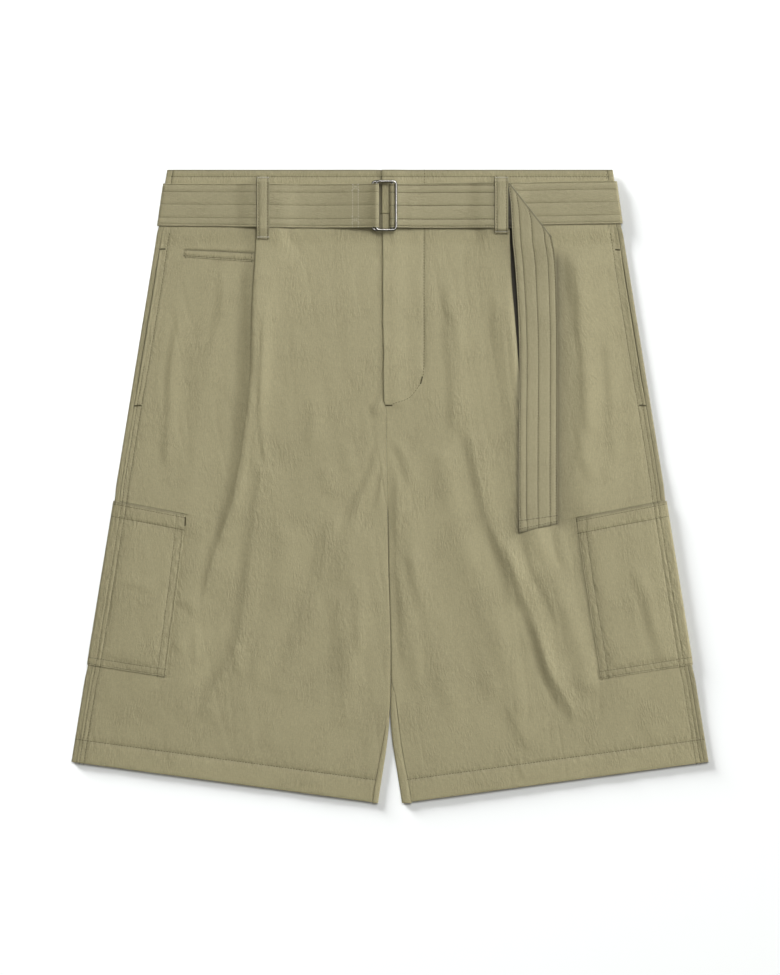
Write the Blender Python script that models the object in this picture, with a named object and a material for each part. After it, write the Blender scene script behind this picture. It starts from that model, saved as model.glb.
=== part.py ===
"""Pleated shorts with a self belt and cargo pockets, laid flat on their back.

Every piece of cloth is a closed wall, built from rows of points down the middle of the cloth.
Tables are in millimetres, in the frame of the finished part: x to the wearer's left, y towards
the waist, z up out of the front, with the middle of the outline at x = y = 0. The shorts lie on
z = 0. "Out" is a distance from the middle of the body towards the side, the same on both legs.
"""
import math
from collections import namedtuple

import bmesh
import bpy
from mathutils import Vector

MM = 0.001

# Driving dimensions
LENGTH = 582.8  # waistband's top edge to the inner corners of the hems
HALF_WAIST = 205.0  # at the waistband's top edge
HALF_HEM = 293.4  # at the outer corners of the hems
HEM_RISE = 38.0  # how much the hems rise from the inseam to the outseam
WAISTBAND = 40.5
BELT_WIDTH = 40.2
CLOTH = 1.0  # thickness of the panels, pockets, loops and belt
BAND_CLOTH = 1.2  # thickness of the waistband
GAP = 0.3  # between pieces that touch
WIRE = 2.2  # thickness of the rings' wire

LAYER = CLOTH + GAP
TOP = LENGTH / 2
HEM_IN = -LENGTH / 2
HEM_OUT = HEM_IN + HEM_RISE
LEG_GAP = 10.8  # half the gap between the inner corners of the hems
HEM_MIDDLE = HEM_IN - HEM_RISE * LEG_GAP / (HALF_HEM - LEG_GAP)
WAIST_SEAM = TOP - WAISTBAND
FLARE = (HALF_HEM - HALF_WAIST) / (TOP - HEM_OUT)

# Heights of the stack at the waist, from the floor up: loop, belt, back, front, belt
BACK_BELT = LAYER + CLOTH / 2
BACK_LIFT = 2 * LAYER  # underside of the back where it passes over the belt
FRONT_BAND = BACK_LIFT + BAND_CLOTH + GAP + BAND_CLOTH / 2
LAP_STEP = BAND_CLOTH + GAP
FRONT_BELT = FRONT_BAND + BAND_CLOTH / 2 + GAP + CLOTH / 2
LIFT_ENDS = (221.0, 236.5)  # y where the back panels leave the floor, and where they are up

# The legs
LOFT = 1.2  # air between the front and the back of a leg
FOLD_HEIGHT = 2 * CLOTH + GAP + LOFT  # height of the folds at the outseam and the inseam
SEAM_IN = 4.6  # the outseam lies this far inside the outline
POCKET_PINCH = 0.8  # the cargo pockets draw the outline of the leg in by this much
BELT_PINCH = 0.7  # and the belt's lower edge by this much
CROTCH = -8.0

# The fly
LAP_EDGE = (-7.4, -5.5)  # x of the lap's edge at the waist and at the fly's lower end
LAP_UNDER = -1.5  # x of the right front's edge under the lap
LAP_FLAT = 3.0  # the lap stays raised as far as this x
LAP_FADE = 18.0
FLY_END = 86.0

# Rows of the panels: how high each lies at the middle of the body and at the side
Row = namedtuple("Row", "name middle side steps")
ROWS = (
    Row("waist seam", WAIST_SEAM - GAP / 2, WAIST_SEAM - GAP / 2, 0),
    Row("below the waistband", 236.5, 236.5, 1),
    Row("on the floor", 221.0, 223.5, 1),
    Row("coin pocket mouth", 208.0, 218.5, 1),
    Row("coin pocket seam", 200.5, 211.5, 1),
    Row("above the fly's end", 92.0, 122.0, 5),
    Row("fly's end", 80.0, 111.0, 1),
    Row("centre seam", 68.0, 100.0, 1),
    Row("above the crotch", -2.0, 40.0, 3),
    Row("below the crotch", -14.0, 29.0, 3),
    Row("cargo pocket mouth", -62.0, -13.3, 2),
    Row("cargo pocket foot", -207.7, -164.0, 8),
    Row("hem stitch", HEM_MIDDLE + 21.0, HEM_OUT + 21.0, 3),
    Row("hem", HEM_MIDDLE, HEM_OUT, 1),
)

# Centre seam, and below the crotch the line where the legs meet
CENTRE = ((72.0, -3.6), (-12.0, -2.5), (-68.0, -1.7), (-160.0, 0.5), (-208.0, 0.0), (HEM_IN, 0.0))
LEG_SPREAD = ((-208.0, GAP / 2), (HEM_IN, LEG_GAP))

# A pleat: its folded edge, how far the cloth folds back under it, and the height of one layer.
# A depth below zero is a fold that has opened into a soft step of that width.
Pleat = namedtuple("Pleat", "y edge depth layer")
PLEATS = (
    Pleat(WAIST_SEAM, 123.3, 16.0, LAYER),
    Pleat(228.0, 123.3, 16.0, LAYER),
    Pleat(190.0, 125.5, 13.0, LAYER),
    Pleat(153.0, 128.8, 7.5, LAYER),
    Pleat(128.0, 130.7, 1.2, LAYER),
    Pleat(108.0, 132.0, -1.5, 1.2),
    Pleat(88.0, 134.0, -6.0, 1.15),
    Pleat(47.0, 139.8, -13.0, 1.0),
    Pleat(12.0, 144.4, -15.0, 0.85),
    Pleat(-16.0, 148.0, -15.0, 0.6),
    Pleat(-44.0, 153.0, -14.0, 0.35),
    Pleat(-90.0, 160.0, -12.0, 0.0),
    Pleat(HEM_IN, 172.0, -12.0, 0.0),
)
PLEAT_FADE = 13.5  # the folded layers settle over this width towards the middle

# What differs between the legs: side is -1 for the wearer's right leg and 1 for the left
Leg = namedtuple("Leg", "name side pleat_shift pocket_front pocket_back inseam_in")
LEGS = (
    Leg("right", -1, 0.0,
        ((200.0, 186.0), (-26.5, 188.6), (-175.0, 206.4), (-270.0, 217.0)), 82.0,
        ((-206.0, 2.4), (-242.0, 4.6), (-272.0, 5.6))),
    Leg("left", 1, -13.4,
        ((200.0, 168.0), (-29.0, 171.9), (-177.6, 193.8), (-270.0, 206.0)), 65.0,
        ((-178.0, 2.4), (-212.0, 7.0), (-244.0, 7.9), (HEM_IN, 9.4))),
)

# Creases of the front, each a soft trough (height below 0) or ridge along a line of points
Crease = namedtuple("Crease", "height width line")
CREASES = (
    Crease(-1.3, 7.0, ((-7, 44), (-12, 31), (-18, 14), (-26, -3), (-37, -33), (-45, -65))),
    Crease(1.0, 9.0, ((-20, 40), (-30, 12), (-42, -20), (-52, -60))),
    Crease(-1.2, 7.0, ((1, 42), (6, 38), (11, 27), (16, 14), (22, -4))),
    Crease(0.9, 9.0, ((16, 44), (25, 22), (31, 0), (34, -30))),
    Crease(-1.5, 9.0, ((75, 40), (89, -19), (102, -61), (118, -90), (140, -141), (172, -218))),
    Crease(1.5, 10.0, ((92, 44), (106, -14), (120, -52), (136, -82), (158, -135), (186, -205))),
    Crease(-0.9, 8.0, ((52, 80), (54, 16), (65, -16))),
    Crease(1.0, 10.0, ((68, 100), (70, 30), (76, -10))),
    Crease(-1.0, 8.0, ((154, -40), (160, -67), (168, -90))),
    Crease(-0.9, 9.0, ((-199, 126), (-203, 55), (-208, 20))),
    Crease(0.9, 9.0, ((-186, 150), (-190, 70), (-196, 10))),
    Crease(-0.8, 8.0, ((-106, 150), (-110, 60), (-118, -20), (-126, -70))),
    Crease(-0.8, 8.0, ((14, -5), (16, -70), (22, -141))),
    Crease(-0.9, 9.0, ((33, 16), (42, -60), (50, -132))),
    Crease(-0.8, 9.0, ((178, 190), (182, 120), (184, 90))),
    Crease(-0.7, 9.0, ((-70, -90), (-62, -150), (-48, -215))),
    Crease(0.8, 10.0, ((-140, -110), (-128, -170), (-110, -230))),
)
CREASE_END = 16.0  # a crease fades out over this length

# The belt, read where it shows: y of its top and lower edges
Edges = namedtuple("Edges", "top low")
BELT_FOLD = Edges(278.1, 278.1 - BELT_WIDTH)
BELT_RIGHT_SIDE = Edges(278.7, 278.7 - 38.9)
BELT_LEFT_SIDE = Edges(280.8, 280.8 - 38.9)
BELT_BACK = Edges(279.0, 279.0 - BELT_WIDTH)
BELT_HALF = Edges(208.9, 214.4)  # half widths of the belt's outline
PLEAT_BUMP = 2.3  # the belt rises this far over a pleat

# Rings: centre lines of their long bars
RING_SPAN = 18.2
RING_Y = (235.8, 280.4)
RING_CORNER = 2.8
RING_RIGHT_UPPER = 5.6
RING_RIGHT_LOWER = 2.2
FOLD_RISE = CLOTH / 2 + GAP + 0.1 + WIRE / 2  # a bar to the middle of the cloth round it
LAP_BELT = FRONT_BELT + LAP_STEP  # middle of the belt where it crosses the fly lap
RING_LOW_Z = LAP_BELT + FOLD_RISE
RING_UP_Z = RING_LOW_Z + WIRE + GAP

# The tail: where its edges run, and how high it lies above the floor
TAIL_FOLD = ((109.2, 278.3), (148.1, 228.6))  # the diagonal fold, upper end and lower end
TAIL_TURN = LAYER / 2  # radius of the turn at the diagonal fold
Tail = namedtuple("Tail", "left left_y right right_y z")  # z of None: as high as the fold
TAIL = (
    Tail(110.6, 262.0, 148.8, 227.2, None),
    Tail(111.6, 244.0, 149.2, 226.2, None),
    Tail(112.5, 225.0, 149.3, 225.0, 10.9),
    Tail(113.6, 208.0, 152.1, 208.0, 9.6),
    Tail(115.0, 180.0, 153.4, 180.0, 8.2),
    Tail(116.8, 145.0, 154.1, 145.0, 7.3),
    Tail(118.3, 110.0, 154.2, 110.0, 6.8),
    Tail(118.3, 70.0, 154.2, 70.0, 6.6),
    Tail(118.0, 25.0, 154.1, 25.0, 6.2),
    Tail(118.0, -12.0, 154.1, -8.0, 5.9),
    Tail(118.7, -43.0, 154.0, -34.5, 5.7),
)

# Belt loops: middle, half width, where they start above the belt and end below it
Loop = namedtuple("Loop", "name x half top low belt_z end_z")
OVER_PLEAT = FRONT_BELT + PLEAT_BUMP
LOOPS_FRONT = (
    Loop("loop_front_right", -116.7, 5.8, 285.2, 227.7, OVER_PLEAT, 7.9),
    Loop("loop_front_left", 102.4, 6.0, 285.2, 232.6, OVER_PLEAT + LAYER, 8.6),
)
LOOPS_BACK = (("loop_back_right", -102.0), ("loop_back_middle", -3.6), ("loop_back_left", 102.0))

KHAKI = (0.345, 0.318, 0.188)
KHAKI_BELT = (0.335, 0.308, 0.182)
STEEL = (0.62, 0.62, 0.60)


def ease(low, high, at):
    """0 below low, 1 above high, and a smooth step between."""
    t = min(max((at - low) / (high - low), 0.0), 1.0)
    return t * t * (3 - 2 * t)


def mix(a, b, t):
    return a + (b - a) * t


def read(table, y):
    """A value that follows a table of (y, value) with falling y, held beyond its ends."""
    if y >= table[0][0]:
        return table[0][1]
    for (y0, a), (y1, b) in zip(table, table[1:]):
        if y >= y1:
            return mix(a, b, (y0 - y) / (y0 - y1))
    return table[-1][1]


def pleat_at(leg, y):
    """Folded edge, depth and layer height of a leg's pleat at y."""
    edge, depth, layer = (
        read([(p.y, getattr(p, field)) for p in PLEATS], y) for field in ("edge", "depth", "layer")
    )
    return edge + leg.pleat_shift, depth, layer


def outline(y):
    """Distance of the leg's outer edge from the middle of the body."""
    in_pocket = ease(-180, -164, y) * (1 - ease(-13, 3, y))
    in_belt = ease(231, 240, y) * (1 - ease(255, 270, y))
    straight = HALF_WAIST + FLARE * (TOP - y)
    return straight - POCKET_PINCH * in_pocket - BELT_PINCH * in_belt


def inner_edge(leg, y):
    """Distance out of the leg's own edge of the centre seam, or of the inseam fold."""
    return leg.side * read(CENTRE, y) + read(LEG_SPREAD, y)


def row_lines():
    """(y at the middle, y at the side) of every row, and the index of each named row."""
    lines, named = [], {}
    for row in ROWS:
        if lines:
            middle, side = lines[-1]
            lines += [
                (mix(middle, row.middle, k / row.steps), mix(side, row.side, k / row.steps))
                for k in range(1, row.steps)
            ]
        lines.append((row.middle, row.side))
        named[row.name] = len(lines) - 1
    return lines, named


LINES, ROW_OF = row_lines()


def y_on(line, out):
    """y of a row at a distance out from the middle."""
    middle, side = line
    return mix(middle, side, max(out, 0.0) / outline(side))


def meet(line, place):
    """Where a row meets a line that is given as out = place(y)."""
    out = 100.0
    for _ in range(8):
        out = place(y_on(line, out))
    return out


def crease_relief(x, y):
    """Height of the troughs and ridges at a point of the front."""
    total = 0.0
    for crease in CREASES:
        nearest, along, length = 1e9, 0.0, 0.0
        for (x0, y0), (x1, y1) in zip(crease.line, crease.line[1:]):
            run = math.hypot(x1 - x0, y1 - y0)
            t = ((x - x0) * (x1 - x0) + (y - y0) * (y1 - y0)) / run**2
            t = min(max(t, 0.0), 1.0)
            away = math.hypot(x - mix(x0, x1, t), y - mix(y0, y1, t))
            if away < nearest:
                nearest, along = away, length + t * run
            length += run
        ends = ease(-CREASE_END, CREASE_END, min(along, length - along))
        total += crease.height * ends * math.exp(-((nearest / crease.width) ** 2))
    return total


def back_lift(y):
    """Underside of the back above the floor, where it rises over the belt."""
    return BACK_LIFT * ease(*LIFT_ENDS, y)


def fold_height(y):
    """Height of the fold at the outseam, pressed flat under the belt."""
    return mix(FOLD_HEIGHT, 2 * CLOTH + GAP, ease(*LIFT_ENDS, y))


def pocket_lift(leg, out, y, row):
    """The back panel rises over the cargo pocket, and the front goes up with it."""
    first, last = ROW_OF["cargo pocket mouth"], ROW_OF["cargo pocket foot"]
    if row < first:
        rows = 1 - (first - row) / 2
    else:
        rows = 1 - max(row - last, 0) / 2
    inside = outline(y) - leg.pocket_back
    return LAYER * max(rows, 0.0) * ease(inside - 32, inside - 2, out)


def front_height(leg, out, y, row):
    """Middle of the front panel's cloth above the floor, before pleats and the fly lap."""
    floor = back_lift(y) + fold_height(y) - CLOTH / 2
    free = ease(0, 24, outline(y) - SEAM_IN - out) * (1 - ease(*LIFT_ENDS, y))
    if y < CROTCH:
        free *= ease(0, 14, out - inner_edge(leg, y))
    relief = max(crease_relief(leg.side * out, y), 0.15 - LOFT)
    return floor + pocket_lift(leg, out, y, row) + free * relief


def front_columns(leg, line, row):
    """Points of one row of a front panel, from the centre out to the outseam: (out, z)."""
    edge, depth, layer = 0.0, 0.0, 0.0
    for _ in range(8):
        edge, depth, layer = pleat_at(leg, y_on(line, edge))
    centre = meet(line, lambda y: front_edge(leg, y, row))
    side = meet(line, lambda y: outline(y) - SEAM_IN - GAP / 2 - mouth_gape(y))
    pocket = meet(line, lambda y: read(leg.pocket_front, y))
    under, open_width = max(depth, 5.0), max(-depth, 0.0)
    raised = edge - under - 2.5
    settled = raised - PLEAT_FADE
    beyond = edge + (4.5 if depth > 0 else open_width + 8.0)
    lap = [centre, centre + 9.0, centre + 24.0]
    spread = [mix(lap[-1], settled, k / 5) for k in range(1, 6)]
    third = open_width / 3
    slope = layer / 3 * (1 - ease(0.5, 6.0, depth))
    folded = [
        (edge, 2 * layer), (edge + third, layer + slope),
        (edge - depth - third, layer - slope), (edge - depth, 0.0),
    ]
    outs = [mix(beyond, pocket, k / 3) for k in (1, 2, 3)]
    outs += [mix(pocket, side, k / 4) for k in (1, 2, 3, 4)]

    pleat_z = front_height(leg, edge, y_on(line, edge), row)
    points = []
    for out in lap + spread:
        y = y_on(line, out)
        points.append((out, front_height(leg, out, y, row) + lap_lift(leg, out, y)))
    points.append((raised, pleat_z + 2 * layer))
    points += [(out, pleat_z + rise) for out, rise in folded]
    points.append((beyond, pleat_z))
    for out in outs:
        y = y_on(line, out)
        points.append((out, front_height(leg, out, y, row) + mouth_lift(out, y)))
    return points


def front_edge(leg, y, row):
    """Inner edge of a front panel: the lap, the centre seam, or the inseam."""
    if row > ROW_OF["above the crotch"]:
        drawn_in = min(1.5 * inseam_turn(row), 1.0)
        return inner_edge(leg, y) + drawn_in * read(leg.inseam_in, y) + GAP / 2
    if y > FLY_END:
        if leg.side < 0:
            return -LAP_UNDER
        return mix(LAP_EDGE[1], LAP_EDGE[0], (y - FLY_END) / (TOP - FLY_END))
    return inner_edge(leg, y)


def lap_lift(leg, out, y):
    """The left front lies over the right one along the fly."""
    if leg.side < 0:
        return 0.0
    return LAYER * (1 - ease(LAP_FLAT, LAP_FADE, out)) * ease(70, 79, y)


def mouth_gape(y):
    """The free edge of the side pocket's mouth draws back a little from the seam."""
    return 0.5 * ease(78, 100, y) * (1 - ease(195, 217, y))


def mouth_lift(out, y):
    edge = outline(y) - SEAM_IN
    return 1.4 * mouth_gape(y) * ease(edge - 14, edge, out)


def arc(out, z, radius, start, end, steps):
    """Points on an arc in the (out, z) plane, its ends left out; angles in degrees."""
    angles = [math.radians(mix(start, end, k / steps)) for k in range(1, steps)]
    return [(out + radius * math.cos(a), z + radius * math.sin(a)) for a in angles]


def back_columns(leg, line, row):
    """Points of one row of a back panel, from the outseam round the side, under and in."""
    outer = meet(line, outline)
    inner = meet(line, lambda y: inner_edge(leg, y))
    y = y_on(line, outer)
    height = fold_height(y)
    lift = back_lift(y) + pocket_lift(leg, outer, y, row)
    middle, radius = lift + height / 2, (height - CLOTH) / 2
    turn = outer - height / 2
    points = [(outer - SEAM_IN + GAP / 2, middle + radius), (turn, middle + radius)]
    points += arc(turn, middle, radius, 90, -90, 4)
    points.append((turn, middle - radius))

    pocket_edge = outer - leg.pocket_back
    last = inner + 16.0
    outs = [mix(turn, pocket_edge, k / 3) for k in (1, 2, 3)]
    outs += [mix(pocket_edge - 9.0, last, k / 2) for k in (0, 1, 2)]
    for out in outs:
        y = y_on(line, out)
        in_pocket = ROW_OF["cargo pocket mouth"] <= row <= ROW_OF["cargo pocket foot"]
        over = LAYER if in_pocket and out > pocket_edge - 1 else 0.0
        points.append((out, back_lift(y) + over + CLOTH / 2))

    return points + inseam_curl(leg, inner, y_on(line, inner), points[-1][1], row)


def inseam_turn(row):
    """0 above the crotch, where the centre seam is flat, to 1 where the inseam folds over."""
    first, last = ROW_OF["above the crotch"], ROW_OF["below the crotch"]
    return min(max((row - first) / (last - first), 0.0), 1.0)


def inseam_curl(leg, inner, y, z, row):
    """The back's inner edge curls up and over the inseam onto the front: (out, z)."""
    turn = math.pi * inseam_turn(row)
    length = math.pi * (FOLD_HEIGHT - CLOTH) / 2
    flap = read(leg.inseam_in, y) - GAP / 2 - FOLD_HEIGHT / 2
    if turn == 0:
        return [(inner + flap + length * (1 - k / 4), z) for k in range(5)] + [(inner, z)]
    radius = length / turn
    if turn < math.pi / 2:
        start = inner + (radius + CLOTH / 2) * math.sin(turn) + flap * math.cos(turn)
    else:
        start = inner + CLOTH / 2 + radius
    points = []
    for k in range(5):
        angle = turn * k / 4
        points.append((start - radius * math.sin(angle), z + radius * (1 - math.cos(angle))))
    out, top = points[-1]
    return points + [(out - flap * math.cos(turn), top + flap * math.sin(turn))]


def placed(leg, line, columns):
    """A row's points in the part's frame."""
    return [Vector((leg.side * out, y_on(line, out), z)) for out, z in columns]


def offsets(rows, flip):
    """How to move each point of a sheet so that both its faces stay a set distance apart."""
    moves = []
    for v, row in enumerate(rows):
        above, below = rows[max(v - 1, 0)], rows[min(v + 1, len(rows) - 1)]
        line = []
        for u, point in enumerate(row):
            down = below[u] - above[u]
            before = point - row[u - 1] if u else None
            after = row[u + 1] - point if u + 1 < len(row) else None
            sides = [d.cross(down).normalized() for d in (before, after) if d is not None]
            normal = sum(sides, Vector()).normalized()
            line.append(normal * (flip / max(normal.dot(sides[0]), 0.55)))
        moves.append(line)
    return moves


def moved_out(rows, flip, distance):
    """The same sheet moved along its own offsets."""
    moves = offsets(rows, flip)
    return [[p + m * distance for p, m in zip(row, line)] for row, line in zip(rows, moves)]


def make_object(name, bm, material):
    bmesh.ops.recalc_face_normals(bm, faces=bm.faces)
    bmesh.ops.triangulate(bm, faces=bm.faces, quad_method="SHORT_EDGE")
    for vert in bm.verts:
        vert.co *= MM
    mesh = bpy.data.meshes.new(name)
    bm.to_mesh(mesh)
    bm.free()
    mesh.materials.append(material)
    mesh.shade_smooth()
    mesh.set_sharp_from_angle(angle=math.radians(40))
    piece = bpy.data.objects.new(name, mesh)
    bpy.context.collection.objects.link(piece)
    return piece


def wall(name, rows, thickness, material, flip=1):
    """A closed wall of cloth from the rows of points down its middle."""
    bm = bmesh.new()
    moves = offsets(rows, flip)
    faces = []
    for half in (thickness / 2, -thickness / 2):
        faces.append([
            [bm.verts.new(p + m * half) for p, m in zip(row, line)]
            for row, line in zip(rows, moves)
        ])
    upper, lower = faces
    for v in range(len(rows) - 1):
        for u in range(len(rows[0]) - 1):
            for side in (upper, lower):
                bm.faces.new((side[v][u], side[v][u + 1], side[v + 1][u + 1], side[v + 1][u]))
    for v in range(len(rows) - 1):
        for u in (0, -1):
            bm.faces.new((upper[v][u], upper[v + 1][u], lower[v + 1][u], lower[v][u]))
    for u in range(len(rows[0]) - 1):
        for v in (0, -1):
            bm.faces.new((upper[v][u], upper[v][u + 1], lower[v][u + 1], lower[v][u]))
    return make_object(name, bm, material)


def principled(name, colour, roughness, metallic):
    material = bpy.data.materials.new(name)
    material.use_nodes = True
    shader = material.node_tree.nodes["Principled BSDF"]
    shader.inputs["Base Color"].default_value = (*colour, 1)
    shader.inputs["Roughness"].default_value = roughness
    shader.inputs["Metallic"].default_value = metallic
    return material


def build_leg(leg, cloth):
    """Front panel, back panel and cargo pocket of one leg, and the rows of its front."""
    front = [placed(leg, line, front_columns(leg, line, k)) for k, line in enumerate(LINES)]
    back = [placed(leg, line, back_columns(leg, line, k)) for k, line in enumerate(LINES)]
    wall(f"front_{leg.name}", front, CLOTH, cloth, flip=-leg.side)
    wall(f"back_{leg.name}", back, CLOTH, cloth, flip=-leg.side)

    on_front, on_back = 5, 9  # columns of the two panels that the pocket covers
    first, last = ROW_OF["cargo pocket mouth"], ROW_OF["cargo pocket foot"] + 1
    front_out = moved_out(front, -leg.side, LAYER)
    back_out = moved_out(back, -leg.side, LAYER)
    patch = [
        front_out[v][-on_front:] + back_out[v][1:on_back] for v in range(first, last)
    ]
    wall(f"cargo_{leg.name}", patch, CLOTH, cloth, flip=-leg.side)
    return front


def coin_welt(front, leg, cloth):
    """The welt lies on the right front, between the pleat and the cargo pocket's line."""
    first, last = ROW_OF["coin pocket mouth"], ROW_OF["coin pocket seam"] + 1
    raised = moved_out(front, -leg.side, LAYER)
    columns = slice(13, 17)
    wall("coin_welt", [row[columns] for row in raised[first:last]], CLOTH, cloth, -leg.side)


def waistbands(band):
    """The right end passes under the fly lap, and the left end lies over it."""
    top, low = TOP, WAIST_SEAM + GAP / 2
    seam = SEAM_IN + 0.9

    def strip(columns):
        return [
            [Vector((x(y) if callable(x) else x, y, z)) for x, z in columns] for y in (top, low)
        ]

    right_end = (lambda y: -outline(y) + seam + GAP / 2, FRONT_BAND)
    left_end = (lambda y: outline(y) - seam - GAP / 2, FRONT_BAND)
    wall("waistband_front_right", strip([right_end, (LAP_UNDER, FRONT_BAND)]), BAND_CLOTH, band)
    lap = [(LAP_EDGE[0], FRONT_BAND + LAP_STEP), (LAP_FLAT, FRONT_BAND + LAP_STEP)]
    wall("waistband_front_left", strip(lap + [(LAP_FADE, FRONT_BAND), left_end]), BAND_CLOTH, band)

    radius = (BAND_CLOTH + GAP) / 2
    middle = FRONT_BAND - radius
    outer = radius + BAND_CLOTH / 2
    round_side = [(0.0, radius)] + arc(0, 0, radius, 90, -90, 4) + [(0.0, -radius)]
    left = [(lambda y, o=o: outline(y) - outer + o, middle + z) for o, z in round_side]
    right = [(lambda y, o=o: outer - outline(y) - o, middle + z) for o, z in round_side[::-1]]
    start = (lambda y: outline(y) - seam + GAP / 2, FRONT_BAND)
    end = (lambda y: -outline(y) + seam - GAP / 2, FRONT_BAND)
    wall("waistband_back", strip([start] + left + right + [end]), BAND_CLOTH, band)


def belt_bump(x):
    """Height of the belt's under layer above its lowest place, along the front."""
    pleats = 0.0
    for leg in LEGS:
        edge = PLEATS[0].edge + leg.pleat_shift
        out = leg.side * x
        pleats += PLEAT_BUMP * ease(edge - 40, edge - 22, out) * (1 - ease(edge + 3, edge + 20, out))
    lap = LAP_STEP * ease(-30, -16, x) * (1 - ease(15, 30, x))
    return pleats + lap


def belt_stretch(xs, start, end, rise=0.0):
    """Stations of a front stretch, its edges eased from one pair of heights to another."""
    stations = []
    for x in xs:
        t = (x - xs[0]) / (xs[-1] - xs[0])
        z = FRONT_BELT + belt_bump(x) + rise
        stations.append((x, mix(start.top, end.top, t), mix(start.low, end.low, t), z))
    return stations


def belt_stations():
    """The belt from its stitched end, round the waist and the rings, to the diagonal fold.

    A station is its two edge points, upper and lower.
    """
    def straight(stations):
        return [(Vector((x, top, z)), Vector((x, low, z))) for x, top, low, z in stations]

    def on_bars(points):
        return straight([(x, *BELT_FOLD, z) for x, z in points])

    left_bar = RING_RIGHT_UPPER - RING_SPAN
    fold_x = left_bar + FOLD_RISE
    corner = 1.6
    over = RING_UP_Z + FOLD_RISE
    stitched = [
        (-36.8, FRONT_BELT), (-28.0, FRONT_BELT + 0.1), (-19.0, LAP_BELT - 0.1),
        (fold_x - corner, LAP_BELT),
    ]
    stitched += arc(fold_x - corner, LAP_BELT + corner, corner, 270, 360, 3)
    stitched += [(fold_x, LAP_BELT + corner), (fold_x, over - corner)]
    stitched += arc(fold_x - corner, over - corner, corner, 0, 90, 3)
    stitched += [
        (fold_x - corner, over), (fold_x - corner - 1.6, over - 0.2),
        (-19.5, LAP_BELT + 3.4), (-28.0, FRONT_BELT + 1.9), (-36.8, FRONT_BELT + LAYER + 0.1),
        (-46.0, FRONT_BELT + 0.1),
    ]
    stations = on_bars(stitched)

    run = [-54.0, -84.0, -92.0, -100.0, -109.0, -126.0, -133.0, -142.0, -174.0]
    stations += straight(belt_stretch(run, BELT_FOLD, BELT_RIGHT_SIDE))
    stations += belt_side(-1, BELT_RIGHT_SIDE, front_first=True)
    stations += [(Vector((x, BELT_BACK.top, BACK_BELT)), Vector((x, BELT_BACK.low, BACK_BELT)))
                 for x in (-150.0, 150.0)]
    stations += belt_side(1, BELT_LEFT_SIDE, front_first=False)
    run = [172.0, 130.0, 121.0, 112.0, 95.0, 87.0, 79.0, 70.0, 42.0, 30.0, 23.0, 15.0]
    under = Edges(BELT_FOLD.top + 0.5, BELT_FOLD.low + 0.5)
    stations += straight(belt_stretch(run, BELT_LEFT_SIDE, under))

    radius = FOLD_RISE
    low_bar, up_bar = (RING_RIGHT_LOWER, RING_LOW_Z), (RING_RIGHT_UPPER, RING_UP_Z)
    between = math.degrees(math.atan2(up_bar[1] - low_bar[1], up_bar[0] - low_bar[0]))
    turned = [(low_bar[0], low_bar[1] - radius)]
    turned += arc(*low_bar, radius, 270, between, 8)
    turned += arc(*up_bar, radius, between + 180, 285, 4)
    turned += [(10.5, LAP_BELT + LAYER + 0.7)]
    stations += on_bars(turned)
    run = [15.0, 23.0, 30.0, 42.0, 70.0, 79.0, 87.0, 96.0]
    stations += straight(belt_stretch(run, BELT_FOLD, BELT_FOLD, rise=LAYER))
    return stations + belt_tail(OVER_PLEAT + LAYER)


def belt_side(side, edges, front_first):
    """The belt round one side of the waist."""
    radius = (FRONT_BELT - BACK_BELT) / 2
    middle = FRONT_BELT - radius
    outer = radius + CLOTH / 2
    ring = [(0.0, radius)] + arc(0, 0, radius, 90, -90, 5) + [(0.0, -radius)]
    stations = []
    for out, z in ring if front_first else ring[::-1]:
        stations.append(tuple(
            Vector((side * (half - outer + out), y, middle + z))
            for half, y in zip(BELT_HALF, edges)
        ))
    return stations


def belt_tail(z):
    """Past the loop the belt folds over itself on the diagonal and hangs down the front."""
    upper, lower = (Vector((*end, z)) for end in TAIL_FOLD)
    across = Vector((upper.y - lower.y, lower.x - upper.x, 0)).normalized()
    stations = [(Vector((105.0, BELT_FOLD.top, z)), Vector((108.0, BELT_FOLD.low, z)))]
    for angle in (0, 60, 120, 180):
        turn = math.radians(angle)
        shift = across * (TAIL_TURN * math.sin(turn))
        shift.z = TAIL_TURN * (1 - math.cos(turn))
        stations.append((upper + shift, lower + shift))
    for row in TAIL:
        height = row.z or z + LAYER
        stations.append((Vector((row.left, row.left_y, height)),
                         Vector((row.right, row.right_y, height))))
    return stations


def belt(cloth):
    stations = belt_stations()
    wall("belt", [[s[0] for s in stations], [s[1] for s in stations]], CLOTH, cloth)


def wire_ring(name, right, z, steel, sides=8, corner_steps=3):
    """A rounded rectangle of wire, lying level."""
    left, (low, high) = right - RING_SPAN, RING_Y
    r = RING_CORNER
    corners = ((right - r, high - r, 0), (left + r, high - r, 90),
               (left + r, low + r, 180), (right - r, low + r, 270))
    bm = bmesh.new()
    rings = []
    for x, y, start in corners:
        for k in range(corner_steps + 1):
            turn = math.radians(start + 90 * k / corner_steps)
            out = Vector((math.cos(turn), math.sin(turn), 0))
            centre = Vector((x, y, z)) + out * r
            angles = [math.tau * (s + 0.5) / sides for s in range(sides)]
            around = [out * math.cos(a) + Vector((0, 0, math.sin(a))) for a in angles]
            rings.append([bm.verts.new(centre + a * (WIRE / 2)) for a in around])
    for a, b in zip(rings, rings[1:] + rings[:1]):
        for s in range(sides):
            t = (s + 1) % sides
            bm.faces.new((a[s], a[t], b[t], b[s]))
    make_object(name, bm, steel)


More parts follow.
